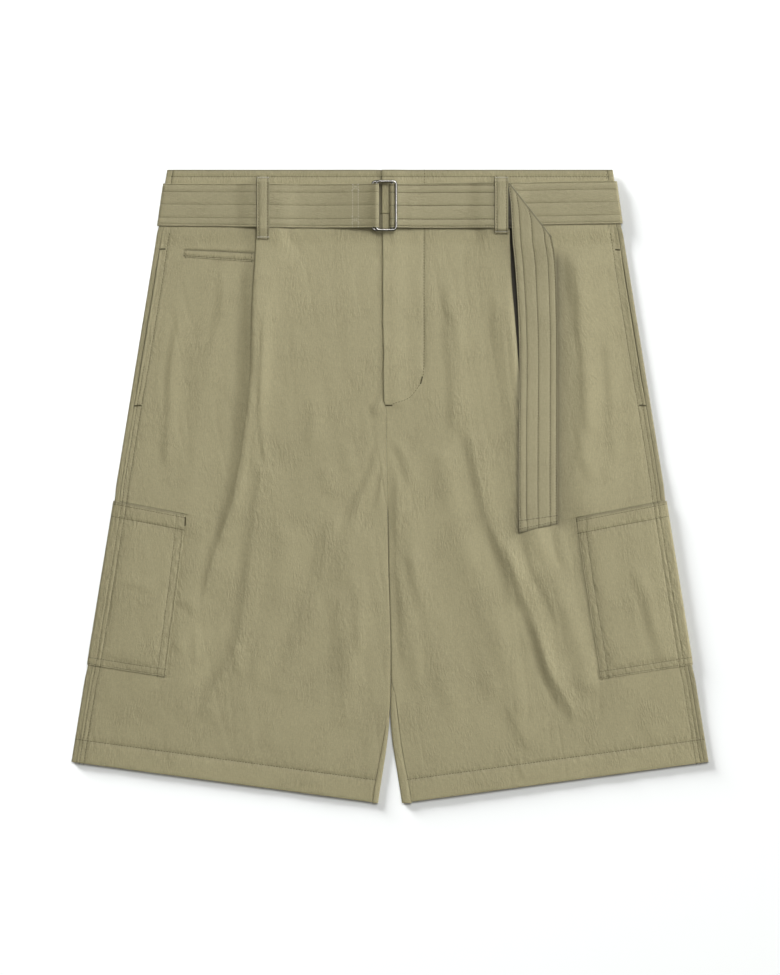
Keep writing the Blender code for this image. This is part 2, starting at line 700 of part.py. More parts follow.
def front_loop(loop, cloth):
    """A loop runs from the waistband over the belt and down to the panel."""
    over = loop.belt_z + CLOTH / 2 + GAP + CLOTH / 2
    start = FRONT_BAND + BAND_CLOTH / 2 + GAP + CLOTH / 2
    low_edge = BELT_FOLD.low
    path = (
        (loop.top, start), (282.4, start + 0.3), (280.0, over - 0.15), (277.2, over),
        (low_edge + 2.6, over), (low_edge - 1.4, over - 0.1),
        (mix(low_edge, loop.low, 0.65), mix(over, loop.end_z, 0.75)), (loop.low, loop.end_z),
    )
    rows = [[Vector((loop.x + dx, y, z)) for y, z in path] for dx in (-loop.half, loop.half)]
    wall(loop.name, rows, CLOTH, cloth)


def back_loop(name, x, cloth, half=6.0):
    """A loop on the back lies flat on the floor, under the belt, and turns up at both ends."""
    floor, band = CLOTH / 2, BACK_LIFT - GAP - CLOTH / 2
    path = ((285.2, band), (281.2, band), (279.4, floor + 0.1), (276.5, floor),
            (241.0, floor), (237.4, floor + 0.1), (236.0, floor + 0.5), (233.2, floor + 0.6))
    rows = [[Vector((x + dx, y, z)) for y, z in path] for dx in (-half, half)]
    wall(name, rows, CLOTH, cloth)


def main():
    for old in list(bpy.data.objects):
        bpy.data.objects.remove(old)
    cloth = principled("shell_cloth", KHAKI, 0.72, 0.0)
    strap = principled("belt_cloth", KHAKI_BELT, 0.7, 0.0)
    steel = principled("ring_steel", STEEL, 0.22, 1.0)
    for leg in LEGS:
        front = build_leg(leg, cloth)
        if leg.side < 0:
            coin_welt(front, leg, cloth)
    waistbands(cloth)
    belt(strap)
    wire_ring("ring_upper", RING_RIGHT_UPPER, RING_UP_Z, steel)
    wire_ring("ring_lower", RING_RIGHT_LOWER, RING_LOW_Z, steel)
    for loop in LOOPS_FRONT:
        front_loop(loop, strap)
    for name, x in LOOPS_BACK:
        back_loop(name, x, strap)


main()
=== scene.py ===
# %% [markdown]
# # Pleated shorts, laid flat
#
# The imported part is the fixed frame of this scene. Its solids are plain walls of cloth, so each
# one is replaced by a finer shell on the same form, with creases, rolled edges and stitching.
# Lengths are in millimetres until a mesh is made: x to the wearer's left, y towards the waist and
# z up out of the front. "Out" is a distance from the middle of the body, the same on both legs.

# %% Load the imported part
import math
from collections import namedtuple

import bpy
import numpy as np
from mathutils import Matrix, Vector
from mathutils.bvhtree import BVHTree


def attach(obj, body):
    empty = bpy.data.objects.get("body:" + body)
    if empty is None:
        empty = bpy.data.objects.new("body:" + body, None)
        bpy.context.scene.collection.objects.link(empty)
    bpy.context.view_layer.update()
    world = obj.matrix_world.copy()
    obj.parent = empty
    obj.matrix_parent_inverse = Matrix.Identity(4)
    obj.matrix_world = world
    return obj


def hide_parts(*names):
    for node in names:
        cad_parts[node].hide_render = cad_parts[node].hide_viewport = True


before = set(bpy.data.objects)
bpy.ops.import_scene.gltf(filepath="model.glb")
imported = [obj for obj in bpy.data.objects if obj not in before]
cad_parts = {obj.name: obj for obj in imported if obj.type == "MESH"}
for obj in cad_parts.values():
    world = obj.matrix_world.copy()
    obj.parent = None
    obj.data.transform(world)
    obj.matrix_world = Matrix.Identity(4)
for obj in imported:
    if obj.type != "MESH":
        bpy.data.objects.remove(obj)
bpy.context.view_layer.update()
print("its solids:", sorted(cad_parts))

MM = 0.001

# %% [markdown]
# ## Working with whole columns of numbers
#
# A panel has tens of thousands of points, so its shape is worked out on whole arrays. These few
# helpers do the same to one number and to an array: a smooth step, a mix of two values, a round
# groove, and a smooth curve through the rows of a short table.

# %% Steps, mixes, grooves and tables


def ease(low, high, at):
    """0 below low, 1 above high, and a smooth step between."""
    t = np.clip((at - low) / (high - low), 0.0, 1.0)
    return t * t * (3 - 2 * t)


def mix(a, b, t):
    return a + (b - a) * t


def groove(distance, width=0.8):
    """1 on a line, and a round fall to 0 beside it."""
    return np.exp(-((distance / width) ** 2))


def read(table, y):
    """A smooth curve through a table of (y, value) with falling y, held beyond its ends."""
    ys, values = np.array(table, float)[::-1].T
    slopes = np.gradient(values, ys)
    y = np.clip(y, ys[0], ys[-1])
    i = np.clip(np.searchsorted(ys, y) - 1, 0, len(ys) - 2)
    span = ys[i + 1] - ys[i]
    t = (y - ys[i]) / span
    start, end = (1 + 2 * t) * (1 - t) ** 2, t * t * (3 - 2 * t)
    leave, arrive = t * (1 - t) ** 2, t * t * (t - 1)
    return start * values[i] + end * values[i + 1] + span * (leave * slopes[i] + arrive * slopes[i + 1])


def spread(start, end, count):
    """Evenly spaced columns after start, up to and including end."""
    return [mix(start, end, k / count) for k in range(1, count + 1)]


# %% [markdown]
# ## The sizes that the solids have
#
# The solids' script can't be read from here, so the sizes that place its cloth are repeated: the
# outline, the rows that run across the legs, the seams, the pleats and the waist's stack.

# %% Driving sizes of the shorts
LENGTH = 582.8
HALF_WAIST = 205.0
HALF_HEM = 293.4
HEM_RISE = 38.0
WAISTBAND = 40.5
BELT_WIDTH = 40.2
CLOTH = 1.0  # the solids' walls
BAND_CLOTH = 1.2
GAP = 0.3
WIRE = 2.2

PANEL = 0.8  # the thickness that the shells show
PATCH = 0.7
STITCH_SINK = 0.22  # how deep a row of stitching draws the cloth in
LAYER = CLOTH + GAP
TOP = LENGTH / 2
HEM_IN = -LENGTH / 2
HEM_OUT = HEM_IN + HEM_RISE
LEG_GAP = 10.8
HEM_MIDDLE = HEM_IN - HEM_RISE * LEG_GAP / (HALF_HEM - LEG_GAP)
WAIST_SEAM = TOP - WAISTBAND
FLARE = (HALF_HEM - HALF_WAIST) / (TOP - HEM_OUT)

BACK_BELT = LAYER + CLOTH / 2
BACK_LIFT = 2 * LAYER
FRONT_BAND = BACK_LIFT + BAND_CLOTH + GAP + BAND_CLOTH / 2
LAP_STEP = BAND_CLOTH + GAP
FRONT_BELT = FRONT_BAND + BAND_CLOTH / 2 + GAP + CLOTH / 2
LIFT_ENDS = (221.0, 236.5)

LOFT = 1.2
FOLD_HEIGHT = 2 * CLOTH + GAP + LOFT
SEAM_IN = 4.6
POCKET_PINCH = 0.8
BELT_PINCH = 0.7
CROTCH = -8.0

LAP_EDGE = (-7.4, -5.5)
LAP_UNDER = -1.5
LAP_FLAT = 3.0
LAP_FADE = 18.0
FLY_END = 76.0

Row = namedtuple("Row", "name middle side")
ROWS = (
    Row("waist seam", WAIST_SEAM - GAP / 2, WAIST_SEAM - GAP / 2),
    Row("below the waistband", 236.5, 236.5),
    Row("on the floor", 221.0, 223.5),
    Row("coin pocket mouth", 208.0, 218.5),
    Row("coin pocket seam", 200.5, 211.5),
    Row("above the fly's end", 92.0, 122.0),
    Row("fly's end", 80.0, 111.0),
    Row("centre seam", 68.0, 100.0),
    Row("above the crotch", -2.0, 40.0),
    Row("below the crotch", -14.0, 29.0),
    Row("cargo pocket mouth", -62.0, -13.3),
    Row("cargo pocket foot", -207.7, -164.0),
    Row("hem stitch", HEM_MIDDLE + 21.0, HEM_OUT + 21.0),
    Row("hem", HEM_MIDDLE, HEM_OUT),
)
ROW_OF = {row.name: k for k, row in enumerate(ROWS)}

CENTRE = ((72.0, -3.6), (-12.0, -2.5), (-68.0, -1.7), (-160.0, 0.5), (-208.0, 0.0), (HEM_IN, 0.0))
LEG_SPREAD = ((0.0, 0.03), (-190.0, 0.03), (-208.0, 0.1), (HEM_IN, LEG_GAP))

# %% [markdown]
# A pleat is folded flat at the waist and opens into a soft step down the leg. The puff is how far
# the folded edge lifts off the cloth under it, which is what makes the dark line beside it.

# %% Pleats and legs
Pleat = namedtuple("Pleat", "y right_edge left_edge depth layer puff")
PLEATS = (
    Pleat(WAIST_SEAM, 123.1, 109.9, 16.0, LAYER, 0.0),
    Pleat(228.0, 123.1, 109.9, 16.0, LAYER, 0.2),
    Pleat(190.0, 125.4, 111.5, 13.0, LAYER, 1.6),
    Pleat(153.0, 127.2, 114.6, 7.5, LAYER, 2.6),
    Pleat(128.0, 127.8, 116.7, 3.0, LAYER, 2.8),
    Pleat(108.0, 128.4, 118.2, 2.2, 1.2, 2.6),
    Pleat(88.0, 130.0, 120.6, 1.6, 1.1, 2.3),
    Pleat(47.0, 135.0, 126.4, 0.4, 0.85, 1.6),
    Pleat(12.0, 139.4, 131.0, -2.0, 0.6, 1.0),
    Pleat(-16.0, 144.0, 134.6, -5.0, 0.4, 0.7),
    Pleat(-44.0, 152.0, 139.6, -9.0, 0.25, 0.4),
    Pleat(-90.0, 166.0, 146.6, -12.0, 0.0, 0.0),
    Pleat(HEM_IN, 172.0, 158.6, -12.0, 0.0, 0.0),
)
PLEAT_FADE = 42.0  # the raised layers settle over this width towards the middle
WAIST_FADE = 14.0

Leg = namedtuple("Leg", "name side pocket_front pocket_back inseam_in")
LEGS = (
    Leg("right", -1, ((200.0, 186.0), (-26.5, 188.6), (-175.0, 206.4), (-270.0, 217.0)), 82.0,
        ((-206.0, 2.4), (-242.0, 4.6), (-272.0, 5.6))),
    Leg("left", 1, ((200.0, 168.0), (-29.0, 171.9), (-177.6, 193.8), (-270.0, 206.0)), 65.0,
        ((-178.0, 2.4), (-212.0, 7.0), (-244.0, 7.9), (HEM_IN, 9.4))),
)
RIGHT, LEFT = LEGS

# %% [markdown]
# ## Creases
#
# Cotton and nylon poplin creases in long soft valleys that fan out from the crotch and hang off
# the pleats, with finer ones between. Each is listed: a height, where 1 is a strong one,
# and a width and a line of points in millimetres. A fold is steep on one side and long on the
# other, which draws it as a dark line with a pale one beside it, and a swell is round.

# %% Table of creases
Crease = namedtuple("Crease", "height width line steep")


def fold(height, width, *line):
    """A crease with one steep side, from its points."""
    return Crease(height, width, line, True)


def swell(height, width, *line):
    """A soft rounded rise along its points."""
    return Crease(height, width, line, False)


RIGHT_CREASES = (
    fold(0.9, 4.5, (-127, 207), (-130, 172), (-131, 135), (-132, 112), (-134, 80), (-137, 47),
         (-140, 15), (-144, -12), (-151, -35), (-161, -60), (-168, -88), (-174, -104)),
    fold(0.85, 3.5, (-138, 15), (-144, 0), (-149, -20), (-154, -40), (-158, -58)),
    fold(0.55, 2.4, (-119, 172), (-118, 133), (-120, 98), (-119, 64), (-118, 46), (-114, 16)),
    fold(1.1, 6.0, (-117, 29), (-120, 2), (-123, -17), (-129, -60), (-131, -83), (-137, -127),
         (-141, -146), (-150, -161), (-160, -182), (-167, -198), (-180, -215)),
    fold(0.6, 3.6, (-192, 161), (-197, 140), (-201, 115), (-203, 92), (-203, 71), (-206, 34),
         (-207, 15)),
    fold(0.5, 4.5, (-154, 197), (-156, 164), (-161, 140), (-167, 116)),
    fold(1.1, 2.8, (-5, 80), (-11, 76), (-18, 66)),
    fold(0.85, 3.2, (-7, 44), (-12, 30), (-17, 14), (-23, 0), (-32, -18), (-37, -34), (-43, -55),
         (-48, -75), (-52, -94)),
    fold(0.85, 5.0, (-52, -91), (-50, -111), (-47, -127), (-45, -152), (-45, -182), (-46, -209),
         (-48, -226)),
    fold(0.7, 2.6, (-6, 20), (-9, -3), (-13, -28)),
    fold(1, 4.6, (-54, -17), (-56, -36), (-58, -46), (-63, -67), (-68, -88), (-75, -106), (-79, -127),
         (-88, -146), (-98, -165), (-103, -182), (-101, -200)),
    fold(0.8, 3.6, (-35, -77), (-31, -97), (-30, -111), (-30, -136), (-29, -160)),
    fold(0.5, 4.0, (-74, 93), (-73, 70), (-73, 50), (-75, 29)),
    fold(0.5, 4.0, (-40, 43), (-41, 27), (-43, 11)),
    fold(0.55, 3.6, (-63, 23), (-60, 6), (-59, -12)),
    fold(0.7, 3.0, (-201, -106), (-193, -106), (-186, -109), (-177, -120)),
    fold(0.55, 3.0, (-201, -142), (-196, -147), (-190, -154)),
    fold(0.5, 4.0, (-178, -125), (-179, -146), (-177, -169)),
    fold(0.5, 3.0, (-142, -143), (-142, -160), (-142, -178)),
    fold(0.55, 4.5, (-109, -207), (-111, -229), (-112, -247)),
    fold(0.4, 3.0, (-258, -87), (-244, -89), (-230, -92), (-214, -98)),
    swell(0.7, 11.0, (-92, -31), (-98, -77), (-110, -132), (-129, -187)),
    swell(0.7, 11.0, (-22, -31), (-35, -77), (-37, -141), (-35, -196)),
    swell(0.6, 12.0, (-170, 144), (-175, 80), (-182, 15), (-188, -49)),
)
LEFT_CREASES = (
    fold(0.9, 4.6, (50, 194), (53, 171), (55, 150), (55, 124), (58, 102), (58, 69), (57, 46)),
    fold(0.55, 2.8, (57, 167), (60, 153), (62, 133), (63, 116)),
    fold(0.9, 3.2, (-1, 44), (6, 37), (12, 27), (16, 14), (20, -3)),
    fold(0.9, 4.6, (8, 15), (6, -7), (6, -46), (7, -81), (11, -111), (12, -140), (14, -169)),
    fold(0.8, 5.0, (18, -54), (22, -78), (29, -103), (35, -129), (38, -157), (41, -174), (52, -196),
         (61, -218)),
    fold(0.45, 3.0, (42, -113), (47, -127), (54, -146)),
    fold(0.8, 3.4, (74, -130), (77, -142), (83, -161), (90, -186), (93, -202)),
    fold(1.3, 4.4, (70, 57), (75, 34), (82, 2), (86, -17), (91, -34), (98, -50), (105, -71), (109, -88),
         (114, -115)),
    fold(1.45, 5.0, (103, -47), (109, -64), (116, -83), (122, -103), (130, -117), (137, -137),
         (142, -155), (148, -172), (157, -186), (166, -205), (174, -221)),
    fold(1.1, 3.0, (125, -115), (132, -132), (137, -149), (145, -175), (154, -195), (156, -210)),
    fold(0.7, 4.0, (123, -38), (126, -50), (132, -73), (145, -98), (152, -119), (158, -130)),
    fold(0.95, 3.2, (152, -33), (154, -40), (156, -56), (160, -68), (168, -76)),
    fold(0.6, 6.0, (106, -196), (109, -204), (118, -221), (123, -235), (127, -248)),
    fold(0.4, 3.0, (116, -252), (122, -263), (129, -275)),
    fold(0.8, 5.0, (169, 216), (171, 198), (174, 172), (174, 150), (172, 128)),
    fold(0.55, 4.0, (164, 222), (165, 200), (167, 182), (166, 160)),
    fold(0.6, 5.0, (174, 120), (177, 96), (178, 74), (175, 44), (171, 12)),
    fold(0.6, 3.0, (173, 190), (172, 157), (175, 135), (179, 100), (182, 57), (185, 43)),
    fold(0.6, 3.6, (196, 139), (200, 124), (201, 111), (203, 80), (203, 52), (208, 20)),
    fold(0.45, 4.0, (175, 48), (179, 24), (187, 0)),
    fold(0.35, 4.0, (100, 181), (97, 161), (96, 146), (98, 122)),
    fold(0.7, 3.6, (223, -68), (227, -84), (235, -103), (241, -129), (247, -147), (247, -167)),
    fold(0.5, 6.0, (189, -150), (177, -167), (165, -184)),
    fold(0.4, 5.0, (226, -209), (236, -222), (245, -237)),
    swell(0.9, 10.0, (120, 6), (132, -40), (153, -86), (171, -141), (186, -196)),
    swell(0.8, 12.0, (46, 43), (61, -31), (83, -95), (106, -160), (124, -215)),
    swell(0.6, 9.0, (20, -12), (22, -68), (24, -141), (31, -196)),
)
BACK_CREASES = (
    swell(0.5, 6.0, (-8, 60), (-30, 10), (-52, -50), (-70, -120)),
    swell(0.45, 5.0, (8, 40), (24, -10), (40, -80), (52, -150)),
    swell(0.5, 7.0, (-100, 170), (-112, 90), (-124, 0), (-140, -110)),
    swell(0.4, 6.0, (96, 180), (110, 100), (120, 20), (138, -90)),
    swell(0.45, 5.0, (-150, -120), (-130, -180), (-104, -236)),
    swell(0.5, 6.0, (90, -90), (118, -150), (150, -220)),
    swell(0.35, 4.0, (-40, 160), (-44, 110), (-52, 60)),
    swell(0.35, 4.0, (46, 150), (52, 90), (50, 40)),
)
CREASE_END = 18.0  # a crease fades out over this length
CREASE_HEIGHT = 1.75  # of a crease whose height is given as 1
SHARP = 0.65  # folds taller than this crumple the cloth beside them

# %% [markdown]
# The height of a crease falls off with the distance from its line. Between the placed creases the
# cloth is never quite flat, so a fine drape is added: smooth random hills, stretched down the leg,
# from a fixed seed.

# %% Relief of the cloth


def smooth_line(points, steps=6):
    """More points on a smooth curve through the given ones."""
    p = np.array(points, float)
    slopes = np.gradient(p, axis=0)
    out = [p[0]]
    for a, b, da, db in zip(p, p[1:], slopes, slopes[1:]):
        for k in range(1, steps + 1):
            t = k / steps
            out.append((1 + 2 * t) * (1 - t) ** 2 * a + t * t * (3 - 2 * t) * b
                       + t * (1 - t) ** 2 * da + t * t * (t - 1) * db)
    return np.array(out)


def crease_height(crease, x, y):
    """Height of one crease at arrays of places."""
    line = smooth_line(crease.line)
    reach = crease.width * 4.5
    near = ((x > line[:, 0].min() - reach) & (x < line[:, 0].max() + reach)
            & (y > line[:, 1].min() - reach) & (y < line[:, 1].max() + reach))
    height = np.zeros(x.shape)
    px, py = x[near], y[near]
    if not px.size:
        return height
    best, along, side, length = np.full(px.shape, 1e9), np.zeros(px.shape), np.zeros(px.shape), 0.0
    for (x0, y0), (x1, y1) in zip(line, line[1:]):
        dx, dy = x1 - x0, y1 - y0
        run = math.hypot(dx, dy)
        t = np.clip(((px - x0) * dx + (py - y0) * dy) / run**2, 0, 1)
        away = np.hypot(px - x0 - t * dx, py - y0 - t * dy)
        closer = away < best
        best = np.where(closer, away, best)
        along = np.where(closer, length + t * run, along)
        side = np.where(closer, np.sign((px - x0) * dy - (py - y0) * dx), side)
        length += run
    end = min(CREASE_END, length / 3)
    fade = ease(0, end, along) * ease(0, end, length - along)
    fade = fade * (0.82 + 0.18 * np.sin(along / 13.0 + crease.width))
    away = best / crease.width
    shape = groove(away, 1.0)
    if crease.steep:
        steep = np.exp(-(np.hypot(away, 0.1) - 0.1) / 0.85)
        hollow = 0.35 * groove(away - 1.5, 1.1) * (1 - np.exp(-3 * away))
        shape = np.where(side > 0, steep - hollow, groove(away, 2.7))
    height[near] = CREASE_HEIGHT * crease.height * fade * shape
    return height


HILLS = 96  # random heights along each side of the repeating grid


def hills(x, y, across, down, seed):
    """Smooth random hills, about so many millimetres across and down."""
    grid = np.random.default_rng(seed).uniform(-1, 1, (HILLS, HILLS))
    u, v = x / across + HILLS // 2, y / down + HILLS // 2
    i, j = np.floor(u).astype(int), np.floor(v).astype(int)
    s, t = u - i, v - j
    s, t = s * s * (3 - 2 * s), t * t * (3 - 2 * t)
    i, j, next_i, next_j = i % HILLS, j % HILLS, (i + 1) % HILLS, (j + 1) % HILLS
    return mix(mix(grid[j, i], grid[j, next_i], s), mix(grid[next_j, i], grid[next_j, next_i], s), t)


def drape(x, y):
    """Low hills in three sizes, and thin random valleys that run down the leg."""
    total = 0.20 * hills(x, y, 26, 90, 11) + 0.10 * hills(x + 0.1 * y, y, 11, 40, 12)
    total = total + 0.045 * hills(x, y, 5.5, 16, 13)
    valley = 1 - np.abs(hills(x + 0.15 * y, y, 13, 60, 14))
    return total - 0.22 * np.clip(valley - 0.72, 0, 1) / 0.28


def crumple(creases, x, y):
    """How close each place is to the steep side of a crease, where the cloth crumples finely and where
    shade is painted into its colour.
    """
    total = 0 * x
    for crease in creases:
        if crease.steep and crease.height > SHARP:
            total = np.maximum(total, crease_height(crease, x, y) / CREASE_HEIGHT)
    return 0.75 * np.clip(total, 0, 1)


def relief(creases, x, y, lowest):
    """All creases and the drape together, never below what the layer underneath allows."""
    total = drape(x, y)
    for crease in creases:
        total = total + crease_height(crease, x, y)
    soft_floor = -lowest * np.tanh(-total / lowest)
    return np.where(total < 0, soft_floor, total)


# %% [markdown]
# ## The rows and edges of the panels
#
# Every panel of a leg is a grid. Its rows run across the leg, tilted as the hem is, and its
# columns run down it. Rows and columns are set close together where a seam will be sewn, so the
# stitching can draw the cloth into a groove there.

# %% Rows and outlines
ROW_PITCH = 2.8
BAND_ROW = ROW_OF["cargo pocket mouth"] + 0.093
COIN_ROW = ROW_OF["coin pocket mouth"]
MOUTH_ROW = ROW_OF["cargo pocket mouth"] - 0.9 / 48.0
FOOT_ROWS = (ROW_OF["cargo pocket foot"] - 0.0095, ROW_OF["cargo pocket foot"] - 0.046)
MIDDLES = np.array([row.middle for row in ROWS])
SIDES = np.array([row.side for row in ROWS])


def fine_rows():
    """Positions down the table of rows, evenly close, with a narrow set at each sewn row."""
    rows = [0.0]
    for k in range(len(ROWS) - 1):
        steps = math.ceil((MIDDLES[k] - MIDDLES[k + 1]) / ROW_PITCH)
        rows += [k + n / steps for n in range(1, steps + 1)]
    for mark in (COIN_ROW - 0.04, MOUTH_ROW, BAND_ROW, *FOOT_ROWS, float(ROW_OF["hem stitch"])):
        span = MIDDLES[int(mark - 0.01)] - MIDDLES[int(mark - 0.01) + 1]
        step = 0.9 / span
        keep = [r for r in rows if abs(r - mark) > 1.9 * step or (r == int(r) and r != mark)]
        rows = keep + [mark - step, mark, mark + step]
    return np.array(sorted({round(row, 6) for row in rows}))[:, None]


FINE = fine_rows()


def outline(y):
    """Distance of the leg's outer edge from the middle of the body."""
    in_pocket = ease(-180, -164, y) * (1 - ease(-13, 3, y))
    in_belt = ease(231, 240, y) * (1 - ease(255, 270, y))
    return HALF_WAIST + FLARE * (TOP - y) - POCKET_PINCH * in_pocket - BELT_PINCH * in_belt


def inner_edge(leg, y):
    return leg.side * read(CENTRE, y) + read(LEG_SPREAD, y)


def y_on(rows, out):
    """y of a row at a distance out from the middle."""
    at = np.arange(len(ROWS))
    middle, side = np.interp(rows, at, MIDDLES), np.interp(rows, at, SIDES)
    return mix(middle, side, np.maximum(out, 0.0) / outline(side))


def meet(rows, place):
    """Where each row meets a line that is given as out = place(y)."""
    out = np.full(rows.shape, 100.0)
    for _ in range(8):
        out = place(y_on(rows, out))
    return out


def inseam_turn(rows):
    first, last = ROW_OF["above the crotch"], ROW_OF["below the crotch"]
    return np.clip((rows - first) / (last - first), 0, 1)


def inseam_shows(leg, y):
    """Low down the inseam lies on the front. Above that the front rolls over it and hides it."""
    start = leg.inseam_in[0][0]
    return 1 - ease(start - 16, start + 6, y)


def front_edge(leg, y):
    """Inner edge of a front panel: the fly lap, the centre seam, or the inseam."""
    below = inner_edge(leg, y) + inseam_shows(leg, y) * (read(leg.inseam_in, y) + GAP / 2)
    lap = -LAP_UNDER if leg.side < 0 else -lap_at(y)
    return mix(below, lap, ease(FLY_END - 5, FLY_END + 3, y))


def lap_at(y):
    """How far to the wearer's right the fly's edge lies."""
    wander = 0.35 * hills(y, 0 * y, 17, 9, 5)
    return -mix(LAP_EDGE[1], LAP_EDGE[0], (y - FLY_END) / (TOP - FLY_END)) + wander


def pleat_at(leg, y):
    fields = (f"{leg.name}_edge", "depth", "layer", "puff")
    return (read([(p.y, getattr(p, field)) for p in PLEATS], y) for field in fields)


def back_lift(y):
    return BACK_LIFT * ease(*LIFT_ENDS, y)


def fold_height(y):
    return mix(FOLD_HEIGHT, 2 * CLOTH + GAP, ease(*LIFT_ENDS, y))


def pocket_rows(rows):
    """1 across the cargo pocket, fading out above and below it."""
    first, last = ROW_OF["cargo pocket mouth"], ROW_OF["cargo pocket foot"]
    return np.clip(np.minimum(1 - (first - rows), 1 - (rows - last) / 0.67), 0, 1)


def pocket_lift(leg, out, y, rows):
    inside = outline(y) - leg.pocket_back
    return LAYER * pocket_rows(rows) * ease(inside - 32, inside - 2, out)


def mouth_gape(y):
    """The free edge of the side pocket's mouth draws back a little from the seam."""
    return 0.5 * ease(78, 100, y) * (1 - ease(195, 217, y))


# %% [markdown]
# ## From a grid to a shell
#
# A shell has an outer and an inner face, half a thickness either side of the grid, and a rolled
# rim between them, so that a cut or folded edge catches the light as cloth does. Each shell keeps
# its grid, so that stitching and pockets can be laid on it later. Its finish needs two numbers at
# each point. The seam value is how near it is to sewing or a steep crease, which puckers it and
# darkens its colour a little, painted shade at the creases. The painted shade value is how much
# near-black is painted into its colour where little light reaches it, as in a fold or under an edge.

# %% Shells


def normals_of(grid, flip):
    across, down = np.gradient(grid, axis=1), np.gradient(grid, axis=0)
    normals = np.cross(across, down) * flip
    return normals / np.maximum(np.linalg.norm(normals, axis=2, keepdims=True), 1e-9)


def quads_of(rows, columns):
    """The faces between a grid's points, which are counted row by row."""
    index = np.arange(rows * columns).reshape(rows, columns)
    corners = [index[:-1, :-1], index[:-1, 1:], index[1:, 1:], index[1:, :-1]]
    return np.stack(corners, -1).reshape(-1, 4)


def border(rows, columns):
    """Indices of a grid's rim, once round."""
    top = [(0, u) for u in range(columns - 1)]
    right = [(v, columns - 1) for v in range(rows - 1)]
    low = [(rows - 1, u) for u in range(columns - 1, 0, -1)]
    left = [(v, 0) for v in range(rows - 1, 0, -1)]
    return np.array(top + right + low + left)


EDGE_ROLL = 0.35  # how far the rim bulges, as a share of the cloth's thickness
ROLL_ANGLES = (45, 0, -45)
SHORTEST_SHEET = 10.1


class Shell:
    """A thin closed piece of cloth, made from a grid of points down its middle."""

    def __init__(self, name, grid, thickness, flip=1, seam=None, painted_shade=None):
        self.name, self.grid = name, grid
        self.normals = normals_of(grid, flip)
        self.thickness = np.broadcast_to(thickness, grid.shape[:2])[..., None]
        self.flip = flip
        self.seam = np.zeros(grid.shape[:2]) if seam is None else np.broadcast_to(seam, grid.shape[:2])
        self.painted_shade = np.zeros(grid.shape[:2]) if painted_shade is None else np.broadcast_to(painted_shade, grid.shape[:2])
        self.piece = None

    def outer(self, lift=0.0):
        return self.grid + self.normals * (self.thickness / 2 + lift)

    def make(self, material):
        rows, columns = self.grid.shape[:2]
        rim = border(rows, columns)
        away = np.zeros(self.grid.shape)
        away[:, 0] += self.grid[:, 0] - self.grid[:, 1]
        away[:, -1] += self.grid[:, -1] - self.grid[:, -2]
        away[0] += self.grid[0] - self.grid[1]
        away[-1] += self.grid[-1] - self.grid[-2]
        away /= np.maximum(np.linalg.norm(away, axis=2, keepdims=True), 1e-9)
        roll = EDGE_ROLL * self.thickness
        core = self.grid - away * roll
        half = self.normals * self.thickness / 2
        count = rows * columns
        v, u = rim[:, 0], rim[:, 1]
        points = [(core + half).reshape(-1, 3), (core - half).reshape(-1, 3)]
        for a in np.radians(ROLL_ANGLES):
            points.append((core + away * roll * math.cos(a) + half * math.sin(a))[v, u])
        quads = quads_of(rows, columns)
        on_rim = v * columns + u
        rolled = [2 * count + k * len(rim) + np.arange(len(rim)) for k in range(len(ROLL_ANGLES))]
        loops = [on_rim, *rolled, on_rim + count]
        strips = [np.stack([a, b, np.roll(b, -1), np.roll(a, -1)], -1)
                  for a, b in zip(loops, loops[1:])]
        faces = np.concatenate([quads, quads[:, ::-1] + count, *strips])
        if self.flip > 0:
            faces = faces[:, ::-1]
        mesh = bpy.data.meshes.new(f"{self.name}_cloth")
        mesh.from_pydata(np.concatenate(points) * MM, [], faces.tolist())
        self.add_surface_data(mesh, v, u)
        mesh.materials.append(material)
        mesh.shade_smooth()
        mesh.validate()
        self.piece = bpy.data.objects.new(mesh.name, mesh)
        bpy.context.scene.collection.objects.link(self.piece)
        return self

    def add_surface_data(self, mesh, v, u):
        """The piece's own UV map, in metres along the cloth, and its seam and painted shade values."""
        steps = np.linalg.norm(np.diff(self.grid, axis=1), axis=2)
        across = np.concatenate([np.zeros((len(steps), 1)), np.cumsum(steps, axis=1)], axis=1)
        steps = np.linalg.norm(np.diff(self.grid, axis=0), axis=2).mean(axis=1)
        down = np.concatenate([[0], np.cumsum(steps)])[:, None] + 0 * across
        flat = np.stack([across, -down], -1)
        flat = np.concatenate([flat.reshape(-1, 2)] * 2 + [flat[v, u]] * 3) * MM
        corner = np.zeros(len(mesh.loops), int)
        mesh.loops.foreach_get("vertex_index", corner)
        layer = mesh.uv_layers.new(name="cloth")
        layer.data.foreach_set("uv", flat[corner].ravel())
        for name, values in (("seam", self.seam), ("painted_shade", self.painted_shade)):
            everywhere = np.concatenate([values.ravel()] * 2 + [values[v, u]] * 3)
            mesh.attributes.new(name, "FLOAT", "POINT").data.foreach_set("value", everywhere)

    def flat_size(self):
        """(width, length) and area of the cloth in metres, measured down its middle."""
        across = np.linalg.norm(np.diff(self.grid, axis=1), axis=2).sum(axis=1).max()
        down = np.linalg.norm(np.diff(self.grid, axis=0), axis=2).sum(axis=0).max()
        g = self.grid
        diagonals = g[1:, 1:] - g[:-1, :-1], g[1:, :-1] - g[:-1, 1:]
        area = np.linalg.norm(np.cross(*diagonals), axis=2).sum() / 2
        down = max(down, SHORTEST_SHEET)
        return (across * MM, down * MM), min(area, across * down) * MM * MM


def in_rings(x, y):
    """The shaded strip that is seen through the rings, between the belt's fold and the fly's edge."""
    return 0.55 * ease(-12.6, -11.2, x) * ease(233.0, 236.5, y) * (1 - ease(279.0, 281.5, y))


# %% [markdown]
# ## Shader arithmetic
#
# A material is easier to read as sums than as a list of nodes. A Wire is an output socket that
# can be added, multiplied and so on, and a Finish is the material that the nodes go into.

# %% Wires and finishes


